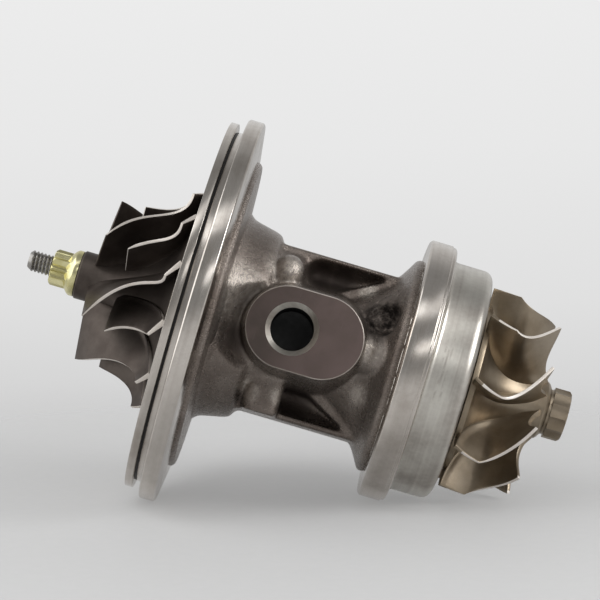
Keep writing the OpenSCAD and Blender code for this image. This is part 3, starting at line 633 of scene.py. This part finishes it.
WEBS = ((0, 29, 43.5, 22.4, 4.9), (-29, 0, 40, -20.7, 6.3))
for side in (1, -1):
    near, far = sorted((0, 12 * side))
    for low, high, start, hollow_z, hollow_half in WEBS:
        web = break_edges(block("web", (27, near, low), (72, far, high)), 0.8, 2)
        trough(web, start, 76, 13 * side, hollow_z, 9.4, hollow_half)
        melt.append(web)
for side in (1, -1):
    low, high = sorted((12.2 * side, 18.4 * side))
    gusset = break_edges(block("gusset", (50, -12.4, low), (73, 12.4, high)), 0.8, 2)
    pivot = Vector((51.5, 0, 18.4 * side)) * MM
    slant = Matrix.Rotation(math.radians(-29 * side), 4, "Y")
    gusset.data.transform(Matrix.Translation(pivot) @ slant @ Matrix.Translation(-pivot))
    melt.append(gusset)
melt.append(ball("dome", (33.2, -21.4, 19.2), (5.2, 6.8, 6.0)))
casting = joined("housing_casting", melt)
settle(casting, "REMESH", mode="VOXEL", voxel_size=VOXEL * MM)
print("casting, first melt:", len(casting.data.polygons), "faces")

# %% [markdown]
# Around the feed pad the casting sinks into a dish, which leaves a soft crescent ridge in the neck.
# A smaller dent lies in the cone, beside the rib. The pad, its rib and the drain flange come after
# the cut, so that they stand in it. The pad's boss widens toward its foot, as the pattern had to
# leave the sand.

# %% Casting: hollows, pads and the second melt
dish = turned("pad_dish", [
    (-60, 0), (-60, 34), (-36.5, 28.5), (-33.2, 25.2), (-30.2, 22.2), (-27.6, 18.6), (-26.4, 15), (-26, 0)],
    96, along=Y, foot=(40, 0, -4))
combine(casting, dish, "DIFFERENCE")
combine(casting, ball("cone_dent", (67, -27.5, 13), (7.2, 6.4, 6.4)), "DIFFERENCE")


def boss(name, centre, length, width, near, far, draft, turn=0.0):
    """A bar with round ends that grows by its draft toward the far end."""
    piece = stadium(name, centre, length, width, near, far, turn)
    foot = Vector((centre[0], 0, centre[1])) * MM
    for v in piece.data.vertices:
        if abs(v.co.y - far * MM) < 1e-5:
            out = Vector((v.co.x, 0, v.co.z)) - foot
            v.co += out.normalized() * draft * MM
    return piece


casting = joined("housing_casting", [
    casting,
    boss("pad_boss", (PAD_X, 0), 39.6, 27.6, -37.5, -8, 4.6),
    rod("pad_rib", 7, (PAD_X, -26, 0), (75.4, -26, 0)),
    ball("rib_knob", (65.8, -28, 0.4), (3.8, 6.4, 6.2)),
    rod("drain_boss", 14.5, (DRAIN_X, 8, 0), (DRAIN_X, 37.6, 0)),
    stadium("drain_lugs", (DRAIN_X, 0), 53, 17, 8, 37.6, math.pi / 2)])
settle(casting, "REMESH", mode="VOXEL", voxel_size=VOXEL * MM)
settle(casting, "SMOOTH", factor=0.5, iterations=18)
combine(casting, rod("feed_bore", 9.6, (FEED_X, -45, 0), (FEED_X, -16.6, 0), 96), "DIFFERENCE")
combine(casting, rod("drain_bore", 9.9, (DRAIN_X, 6, 0), (DRAIN_X, 45, 0), 96), "DIFFERENCE")
combine(casting, rod("rotor_bore", 14.0, (5, 0, 0), (80, 0, 0), 96), "DIFFERENCE")
combine(casting, rod("thrust_pocket", 22.6, (5, 0, 0), (21.2, 0, 0), 96), "DIFFERENCE")
for z in DRAIN_BOLTS:
    combine(casting, rod("drain_bolt", 3.4, (DRAIN_X, 24, z), (DRAIN_X, 45, z), 48), "DIFFERENCE")
casting.data.materials.clear()
finished(casting, "housing", "cast_iron", "bearing_housing", cast_iron)

# %% [markdown]
# ## The machined parts of the housing
# The casting is finished on a lathe and a mill: the seat disc, the turbine flange with its hub, the
# bearing bore with its grooves, and the two oil faces. They stay crisp, so each is modelled apart
# from the soft casting and sits in it.

# %% Seat disc and turbine flange
seat_disc = turned("seat_disc", [
    (9.8, 22.03), (9.8, 40.4), (11.7, 40.4), (11.7, 43), (9.8, 43), (9.8, 53.5), (10.3, 54), (13.2, 54),
    (14.2, 53), (15, 36.6), (16, 34.5), (16, 22.03), (9.8, 22.03)], steps=256)
break_edges(seat_disc, 0.3, 3)
finished(seat_disc, "housing", "cast_iron", "bearing_housing", cast_iron)

flange = turned("turbine_flange", [
    (75.6, 14.2), (75.6, 37), (76.7, 37.2), (76.7, 44.6), (77.5, 45.4), (84.6, 45.4), (84.9, 44.9),
    (85.7, 44.9), (86.2, 44.2), (86.2, 38.77), (91.2, 38.77), (91.2, 34.8), (81.2, 34.8), (81.2, 19),
    (97.4, 17), (97.4, 10.35), (86.1, 10.35), (86.1, 13.5), (82, 14.2), (75.6, 14.2)], steps=256)
break_edges(flange, 0.14)
finished(flange, "housing", "machined_steel", "bearing_housing", machined_steel)

# %% [markdown]
# The bearing bore has two lands for the bushes, with two circlip grooves each, and a wide chamber
# between them. Oil leaves the chamber through the drain.

# %% Bearing bore
LAND_R = 8.05
GROOVE_R = 9.03
GROOVES = ((25.75, 27.2), (38.5, 39.95), (65.1, 66.55), (77.85, 79.3))
CHAMBER = ((42.8, LAND_R), (42.8, 12.55), (63.25, 12.55), (63.25, LAND_R))
grooves = [[(a, LAND_R), (a, GROOVE_R), (b, GROOVE_R), (b, LAND_R)] for a, b in GROOVES]
bore = turned("bearing_bore", [
    (21.1, 22.4), (21.1, 13.7), (24.15, 13.7), (24.15, LAND_R), *grooves[0], *grooves[1], *CHAMBER,
    *grooves[2], *grooves[3], (81.15, LAND_R), (81.15, 13.5), (82, 14.2), (24, 14.2), (22, 22.4),
    (21.1, 22.4)], steps=128)
combine(bore, rod("drain_way", 9.5, (DRAIN_X, 6, 0), (DRAIN_X, 20, 0)), "DIFFERENCE")
bore.data.materials.clear()
finished(bore, "housing", "cast_iron", "bearing_housing", shaft_steel)

# %% [markdown]
# The feed pad was milled flat and then drilled, countersunk and tapped. Its broken edge is a thin
# bright line: bare metal from deburring, with a painted highlight. The thread is real relief: the bore
# is spun with many rings, and each vertex is moved out or in by its place along the helix. The drain
# face, on the other side, has two lugs with bolt holes.

# %% Feed pad, thread and drain face


def paint_where(piece, index, test):
    """Gives the faces that pass the test the material with this index.

    The test takes the middle of a face, in millimetres, and its normal.
    """
    for face in piece.data.polygons:
        if test(face.center / MM, face.normal):
            face.material_index = index


def at_edge(middle, normal):
    """Whether a face belongs to the broken edge of a flat that faces along y."""
    return 0.25 < abs(normal.y) < 0.97


def helix(piece, foot, along, pitch, depth, low, high, inside):
    """Cuts a thread into the rings between low and high, measured along the axis in millimetres."""
    side = along.orthogonal().normalized()
    other = along.cross(side)
    for v in piece.data.vertices:
        p = v.co / MM - Vector(foot)
        a = p.dot(along)
        flat = p - along * a
        if flat.length < 1e-3 or not low <= a <= high:
            continue
        phase = (a / pitch - math.atan2(flat.dot(other), flat.dot(side)) / math.tau) % 1.0
        tooth = min(1.0, max(0.0, 1.35 - 2.7 * abs(phase - 0.5)))
        fade = min(1.0, (a - low) / pitch, (high - a) / (0.5 * pitch))
        move = depth * (1 - tooth if not inside else tooth) * max(fade, 0.0)
        v.co += flat.normalized() * (move if inside else -move) * MM


THREAD_R = 7.2
pad = stadium("feed_pad_face", (PAD_X, 0), 39.8, 27.8, PAD_Y, -36.0)
break_edges(pad, 0.32, 2)
sink = turned("feed_sink", [
    (0, 0), (0, 9.9), (1.0, 8.9), (2.7, THREAD_R), (9, THREAD_R), (9, 0)],
    96, along=Y, foot=(FEED_X, PAD_Y - 1, 0))
combine(pad, sink, "DIFFERENCE")
pad.data.materials.clear()
finished(pad, "housing", "cast_iron", "bearing_housing", milled_iron, edge_wear_and_highlight, stainless, smooth=20)
# The broken edge is painted lighter: bare metal from deburring, with a painted highlight.
paint_where(pad, 1, at_edge)
paint_where(pad, 2, lambda p, n: abs(n.y) < 0.97 and math.hypot(p.x - FEED_X, p.z) < 9.6)

thread_foot = (FEED_X, -36.1, 0)
rings = [(0.1 * k, THREAD_R) for k in range(182)]
liner = turned("feed_thread", [(-0.2, 9.5), (-0.1, THREAD_R)] + rings + [
    (18.3, THREAD_R), (19.2, 3), (19.2, 0), (20, 0), (20, 9.5), (-0.2, 9.5)], 72, along=Y, foot=thread_foot)
helix(liner, thread_foot, Y, 1.5, 0.45, 0.6, 17.9, True)
finished(liner, "housing", "cast_iron", "bearing_housing", bore_oil_and_painted_shade)

drain = rod("drain_face", 14.6, (DRAIN_X, 35, 0), (DRAIN_X, 40, 0), 96)
combine(drain, stadium("lugs", (DRAIN_X, 0), 53.2, 17.2, 34, 41, math.pi / 2), "UNION")
combine(drain, block("slice", (30, 36.9, -40), (80, DRAIN_Y, 40)), "INTERSECT")
combine(drain, rod("hole", 9.5, (DRAIN_X, 30, 0), (DRAIN_X, 45, 0), 96), "DIFFERENCE")
for z in DRAIN_BOLTS:
    combine(drain, rod("hole", 3.4, (DRAIN_X, 30, z), (DRAIN_X, 45, z), 48), "DIFFERENCE")
# The cuts can leave two points almost in one place, and a bevel has no room between them.
settle(drain, "WELD", merge_threshold=0.15 * MM)
break_edges(drain, 0.25)
drain.data.materials.clear()
finished(drain, "housing", "cast_iron", "bearing_housing", milled_iron, edge_wear_and_highlight, smooth=20)
# Its broken edge gets the same lighter finish: bare metal and a painted highlight.
paint_where(drain, 1, at_edge)

# %% [markdown]
# ## The heat shield
# A cup of thin sheet: the outline runs from its curled foot along the wall, round the nose and in to
# the hole, then back on the inside, one sheet thickness away.

# %% Heat shield


def arc(centre, radius, start, end, count=9):
    """Points on an arc as (along, radius), by angle in degrees from outward to forward."""
    angles = [math.radians(start + (end - start) * k / (count - 1)) for k in range(count)]
    return [(centre[0] + radius * math.sin(a), centre[1] + radius * math.cos(a)) for a in angles]


NOSE_BEND = (97.3, 36.9)
foot_line = [(86.2, 38.8), (86.2, 41.7), (86.5, 41.1), (87.0, 40.6), (87.8, 40.35)]
shield = turned("shield_cup", foot_line + arc(NOSE_BEND, 3.4, 0, 90) + [(100.7, 13.5), (99.2, 13.5)]
                + arc(NOSE_BEND, 1.9, 90, 0) + [(86.2, 38.8)], steps=256)
break_edges(shield, 0.2)
finished(shield, "housing", "stainless", "heat_shield", stainless)

# %% [markdown]
# ## The compressor wheel
# A blade is a sheet between two contours, the hub's and the shroud's, and it winds about the axis
# on its way. A Grid primitive is the sheet: each of its vertices is put where the blade formula
# says. Solidify gives it thickness, thicker at the root, and marks its rim with the second
# material, because the contour was turned bright. Bevel then breaks the edges.

# %% Blade tools


def mix(a, b, t):
    return a + (b - a) * t


def quarter(t):
    """Sine and cosine of a share of a right angle."""
    return math.sin(math.pi / 2 * t), max(math.cos(math.pi / 2 * t), 0.0)


def wheel_point(x, r, degrees):
    """A point at x, r and an angle about the rotor axis, in metres."""
    a = math.radians(degrees)
    return Vector((x, r * math.sin(a), -r * math.cos(a))) * MM


def blade(name, surface, thickness, along, span, skin, dull=None):
    """A sheet of blade from its surface and its thickness in millimetres, both given by (t, s).

    Its rim is bright, apart from the faces whose centre passes the test `dull`.
    """
    bpy.ops.object.select_all(action="DESELECT")
    bpy.ops.mesh.primitive_grid_add(x_subdivisions=along, y_subdivisions=span, size=2)
    piece = bpy.context.object
    piece.name = name
    group = piece.vertex_groups.new(name="thickness")
    for v in piece.data.vertices:
        t, s = (v.co.x + 1) / 2, (v.co.y + 1) / 2
        group.add([v.index], thickness(t, s) / ROOT_T, "REPLACE")
        v.co = surface(t, s)
    piece.data.materials.append(skin)
    piece.data.materials.append(bright_edge)
    settle(piece, "SOLIDIFY", thickness=ROOT_T * MM, offset=0, vertex_group="thickness",
           use_even_offset=False, material_offset_rim=1)
    for face in piece.data.polygons:
        if dull and dull(face.center / MM):
            face.material_index = 0
    bpy.ops.object.mode_set(mode="EDIT")
    bpy.ops.mesh.select_all(action="SELECT")
    bpy.ops.mesh.normals_make_consistent(inside=False)
    bpy.ops.object.mode_set(mode="OBJECT")
    return break_edges(piece, 0.1, 2, 50)


def ring_of(piece, count):
    """The piece and its copies around the rotor axis, each with its own mesh."""
    copies = [piece]
    for k in range(1, count):
        copy = piece.copy()
        copy.data = piece.data.copy()
        bpy.context.scene.collection.objects.link(copy)
        copy.data.transform(Matrix.Rotation(math.tau * k / count, 4, "X"))
        copies.append(copy)
    return copies


ROOT_T = 4.0

# %% [markdown]
# The compressor wheel has six full blades and six splitters, which start further down the hub. Along
# a blade t runs from its front to its rim, and s from the hub to the shroud.

# %% Compressor wheel
COMP_PHASE = -58.5
COMP_R = 39.1
COMP_HUB_R = 8.4


def comp_root(t):
    """The hub contour as (x, r), from the eye to the rim."""
    si, co = quarter(t)
    return mix(-30.8, -1.4, si), mix(COMP_R, COMP_HUB_R, co)


def comp_turn(wrap, n, t):
    """How far a contour has wound about the axis, in degrees, out of its whole wrap."""
    return wrap * (1 - (1 - quarter(t)[0] ** (2 / n)) ** 2.6)


def comp_surface(root_start, tip_start):
    """Surface of a blade whose root and tip start at these shares of a full blade."""
    def at(t, s):
        s = mix(-0.06, 1, s)
        t = mix(mix(root_start, tip_start, max(s, 0)), 1, t)
        si, co = quarter(t)
        hub = comp_root(t)
        shroud = (mix(-28.8, -5.3, si ** 0.8), mix(COMP_R, 28.3, co ** 0.8))
        sweep = 4 * (1 - co ** 0.8) ** 2
        a = mix(comp_turn(47, 2, t), comp_turn(35, 2.5, t) + sweep, s)
        r = min(mix(hub[1], shroud[1], s), COMP_R)
        return wheel_point(mix(hub[0], shroud[0], s), r, COMP_PHASE - a)
    return at


def comp_thickness(t, s):
    s = max(mix(-0.06, 1, s), 0)
    fillet = max(1 - s / 0.16, 0) ** 2 * 1.6 * min(t / 0.1, 1, (1 - t) / 0.1)
    return 2.1 * mix(0.95, 0.5, s) * (0.4 + 0.6 * min(t / 0.08, 1)) + fillet


hub_line = [comp_root(k / 40) for k in range(41)]
comp_hub = turned("comp_hub", [(-0.6, 4.03), (-36, 4.03), (-36, 7.7), (-35.3, COMP_HUB_R)] + hub_line + [
    (-0.6, COMP_R), (-0.6, 4.03)], 180)
comp_hub.data.materials.append(wheel_aluminium)
full = ring_of(blade("comp_blade", comp_surface(0, 0), comp_thickness, 48, 18, wheel_aluminium,
                     lambda p: p.x < -28.7), 6)
splitter = blade("comp_splitter", comp_surface(0.23, 0.18), comp_thickness, 40, 18, wheel_aluminium)
splitter.data.transform(Matrix.Rotation(math.radians(30), 4, "X"))
comp_wheel = joined("compressor_wheel_milled", [comp_hub] + full + ring_of(splitter, 6))
finished(comp_wheel, "rotor", "wheel_aluminium", "compressor_wheel")

# %% [markdown]
# ## The turbine wheel
# Its blades follow radial lines at the inlet and curl at the exit, like a propeller's. The exit
# edge is hollowed toward the middle. Behind the blades is a plain disc, and in front a twelve-point
# nose that holds the wheel while the nut is tightened.

# %% Turbine wheel
TURB_PHASE = -86


def turb_root(t):
    """The hub contour as (x, r), from the inlet to the exit."""
    si, co = quarter(t)
    return mix(128.7, 102.9, co ** (2 / 2.2)), mix(35.6, 10, si ** (2 / 2.2))


def turb_surface(t, s):
    s = mix(-0.07, 1, s)
    t *= 1 - 0.08 * math.sin(math.pi * max(s, 0))
    root = turb_root(t)
    shroud = (111.7 + 15 * t, 30.8 + 4.8 * (1 - t) ** 2.6)
    x = mix(root[0], shroud[0], s)
    a = 29 * (max(x - 111.7, 0) / 15) ** 1.9 + 7.5 * max(1 - (x - 101.7) / 15, 0) ** 2
    return wheel_point(x, mix(root[1], shroud[1], s), TURB_PHASE - a)


def turb_thickness(t, s):
    s = max(mix(-0.07, 1, s), 0)
    fillet = max(1 - s / 0.2, 0) ** 2 * 1.8 * min(1, t / 0.2, (1 - t) / 0.1)
    return 2.2 * mix(0.9, 0.5, s) * (0.6 + 0.4 * min(t / 0.3, 1)) + fillet


def star(name, radius, near, far, turn, drawn=0.8966):
    """A twelve-point bar along the rotor: a circle whose every second vertex is drawn in."""
    bpy.ops.object.select_all(action="DESELECT")
    bpy.ops.mesh.primitive_circle_add(vertices=24, radius=radius * MM, fill_type="NGON",
                                      rotation=(0, math.pi / 2, 0))
    piece = bpy.context.object
    piece.name = name
    bpy.ops.object.transform_apply(location=True, rotation=True, scale=True)
    for v in piece.data.vertices:
        if v.index % 2:
            v.co *= drawn
        v.co.x = near * MM
    piece.data.transform(Matrix.Rotation(math.radians(turn), 4, "X"))
    bpy.ops.object.mode_set(mode="EDIT")
    bpy.ops.mesh.select_all(action="SELECT")
    bpy.ops.mesh.extrude_region_move(TRANSFORM_OT_translate={"value": ((far - near) * MM, 0, 0)})
    bpy.ops.mesh.select_all(action="SELECT")
    bpy.ops.mesh.normals_make_consistent(inside=False)
    bpy.ops.object.mode_set(mode="OBJECT")
    return piece


DISC_R = 29
root_line = [turb_root(k / 40) for k in range(1, 41)]
disc_line = [(98.4, 0), (98.4, 10), (101.2, 10), (101.7, DISC_R), (103.1, DISC_R)]
turb_hub = turned("turb_hub", disc_line + [(x, r) for x, r in root_line if r < DISC_R] + [
    (129.3, 10), (130, 9.4), (131, 7.9), (133, 7.7), (133, 0)], 180)
turb_hub.data.materials.append(wheel_alloy)
nose = star("turb_nose", 8.9, 132, 137.9, -19)
envelope = turned("nose_envelope", [(131, 0), (131, 12), (137.2, 8.9), (137.9, 8.2), (137.9, 0)], 72)
combine(nose, envelope, "INTERSECT")
break_edges(nose, 0.2)
nose.data.materials.clear()
nose.data.materials.append(wheel_alloy)
turb_wheel = joined("turbine_wheel_cast", [turb_hub, nose] + ring_of(
    blade("turb_blade", turb_surface, turb_thickness, 44, 20, wheel_alloy,
          lambda p: p.x < 105 or math.hypot(p.y, p.z) < 30.2), 9))
finished(turb_wheel, "rotor", "wheel_alloy", "turbine_wheel")

# %% [markdown]
# ## The shaft end and the nut
# The shaft's thread stands out past the nut. It is spun with many rings and cut along a helix, with
# the lead-in chamfer in the outline. The nut has twelve points and a flange, and is left by its
# plating with soft bright edges.

# %% Shaft and nut
shaft_line = [(-53.6, 0), (-53.6, 2.7), (-52.7, 3.6)] + [(-52.6 + 0.09 * k, 3.6) for k in range(1, 96)]
shaft = turned("shaft_turned", shaft_line + [
    (-44, 3.6), (-34, 3.6), (-33.4, 4), (23.15, 4), (23.15, 5.5), (83.15, 5.5), (84.15, 9), (86.15, 10),
    (89.55, 10), (89.55, 8.2), (91.45, 8.2), (91.45, 10), (98.4, 10), (98.4, 0)], 64)
helix(shaft, (0, 0, 0), X, 1.27, 0.62, -54.2, -43.6, False)
finished(shaft, "rotor", "shaft_steel", "rotor_shaft", shaft_steel)

nut = star("nut_head", 6.3, -46.3, -39.2, 7, 0.8)
combine(nut, turned("nut_envelope", [
    (-45.3, 0), (-45.3, 5.6), (-44.4, 6.4), (-39, 6.4), (-39, 0)], 96), "INTERSECT")
combine(nut, turned("nut_skirt", [
    (-44.7, 0), (-44.7, 4.9), (-40.4, 4.9), (-39.8, 5.75), (-38.6, 7.2), (-37.9, 7.8), (-37.4, 8), (-36, 8),
    (-36, 0)], 96), "UNION")
combine(nut, rod("nut_bore", 3.63, (-50, 0, 0), (-30, 0, 0), 64), "DIFFERENCE")
nut.name = "lock_nut_plated"
break_edges(nut, 0.16, 2, 24)
nut.data.materials.clear()
finished(nut, "rotor", "zinc_yellow", "lock_nut", zinc_yellow)

# %% [markdown]
# ## The pieces inside
# Bushes, collars, rings, screws and the thrust bearing are exact as they are, so they only get
# the finish of their metal.

# %% Finish the inner pieces
INSIDE = {
    "backplate_seal_ring": black_rubber, "housing_o_ring": black_rubber,
    "backplate_screws": spring_steel, "thrust_bearing_screws": spring_steel, "bush_circlips": spring_steel,
    "compressor_piston_ring": spring_steel, "turbine_piston_ring": spring_steel,
    "thrust_bearing": bronze, "compressor_bush": bronze, "turbine_bush": bronze,
    "thrust_collar": shaft_steel, "sealing_collar": shaft_steel, "oil_deflector": stainless}
for name, material in INSIDE.items():
    for slot in nodes[name].material_slots:
        slot.material = material
print("inner pieces:", len(INSIDE))

# %% [markdown]
# ## Table and light
# The cartridge lies on its two clamp rims, so the table is the plane that touches both circles from
# below. It is a pale disc that fades out and has no underside, and beyond it the studio is just as
# pale. Two soft lamps stand left and right of the camera, and the studio itself fills the shadows.

# %% Table
FRONT_RIM = (10.7, 67.4)
REAR_RIM = (84.6, 45.4)
LEAN = math.atan2(FRONT_RIM[1] - REAR_RIM[1], REAR_RIM[0] - FRONT_RIM[0])
LOOK_DOWN = math.radians(12)
table_up = Vector((
    -math.sin(LEAN), -math.cos(LEAN) * math.sin(LOOK_DOWN), math.cos(LEAN) * math.cos(LOOK_DOWN)))
height = min(table_up.x * x - r * math.cos(LEAN) for x, r in (FRONT_RIM, REAR_RIM)) * MM
middle = Vector((0.045, 0.0, 0.0))
middle += table_up * (height - table_up.dot(middle))
bpy.ops.object.select_all(action="DESELECT")
bpy.ops.mesh.primitive_circle_add(vertices=128, radius=0.4, fill_type="NGON")
table = bpy.context.object
table.name = "table"
table.data.transform(Matrix.Translation(middle) @ Z.rotation_difference(table_up).to_matrix().to_4x4())
table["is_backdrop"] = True

paper = Finish("table_paper")
weave = paper.noise(4, 3)
under = paper.node("ShaderNodeNewGeometry", out="Backfacing")
table.data.materials.append(paper.done(
    base_color=paper.blend(weave, tint(206, 206, 206), tint(211, 211, 211)), roughness=0.6,
    alpha=paper.near(middle / MM, 120, 300) * 0.62 * (1 - under)))

# %% [markdown]
# The studio has two faces. To the lens it is a pale sheet that darkens softly to the back of the
# table. In the metal it shows more: a pale table, a dim room above it, a bright sheet behind, and
# two long soft boxes above the lens. The lower box is brighter to the right and the upper one to
# the left. These boxes give the turned rims their bands.

# %% Studio and lamps
world = bpy.data.worlds.new("studio")
bpy.context.scene.world = world
studio = Bench(world)
way = studio.node("ShaderNodeTexCoord", out="Generated")


def toward(direction):
    """How far a ray points in a direction, from -1 to 1."""
    return studio.node("ShaderNodeVectorMath", {"operation": "DOT_PRODUCT"},
                       {0: way, 1: direction}, out="Value")


to_right, to_up, to_lens = toward(cam_right), toward(cam_up), toward(-cam_ahead)
backdrop = studio.node("ShaderNodeValToRGB", {"stops": (
    (0.0, tint(214, 214, 214)), (0.2, tint(205, 205, 205)), (0.32, tint(210, 210, 210)),
    (0.5, tint(224, 224, 224)), (0.75, tint(232, 232, 232)), (1.0, tint(236, 236, 236)))},
    {"Fac": to_up * 4.17 + 0.5})
front = to_lens.step(-0.1, 0.25) * (1 - abs(to_right).step(0.5, 0.85))
lean = (to_right - to_up * 0.29).step(-0.06, 0.07)
low_box = to_up.step(0.21, 0.29) * (1 - to_up.step(0.36, 0.44)) * front * (lean * 1.5 + 0.04)
top_up = to_up + lean * 0.03
top_box = top_up.step(0.7, 0.78) * (1 - top_up.step(0.84, 0.92)) * front * (1.2 - lean * 0.45)
behind = (0 - to_lens).step(0.1, 1.0) * to_up.step(-0.2, 0.3)
dim = to_up.step(-0.25, 0.1) * 0.38 + (0 - to_up).step(0.55, 1.0) * 0.5
room = 0.66 - dim + behind * 0.5 + low_box + top_box
seen = studio.node("ShaderNodeLightPath", out="Is Camera Ray")
glow = studio.node("ShaderNodeBackground", {}, {"Color": studio.blend(seen, room, backdrop), "Strength": 1.0})
studio.tree.links.new(glow.socket, studio.tree.nodes.new("ShaderNodeOutputWorld").inputs["Surface"])


def lamp(name, place, target, size, watts):
    """A square soft lamp that faces a point."""
    bpy.ops.object.light_add(type="AREA", location=place)
    light = bpy.context.object
    light.name = name
    light.data.shape, light.data.size, light.data.energy = "SQUARE", size, watts
    light.rotation_mode = "QUATERNION"
    light.rotation_quaternion = (Vector(target) - Vector(place)).to_track_quat("-Z", "Y")
    return light


heart = Vector((0.042, 0, 0))
lamp("left_soft", heart + (cam_right * -0.82 + cam_up * 0.48 - cam_ahead * 0.3) * 0.9, heart, 1.2, 6.4)
lamp("right_soft", heart + (cam_right * 0.85 + cam_up * 0.35 - cam_ahead * 0.4) * 0.9, heart, 0.5, 4.6)

scene = bpy.context.scene
scene.view_settings.view_transform = "Standard"
print("table, studio and lamps are in place")

# %% [markdown]
# ## Measure and finish
# The dressed part must keep the size of the solids; here the box around it is measured.

# %% Finish
low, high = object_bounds()
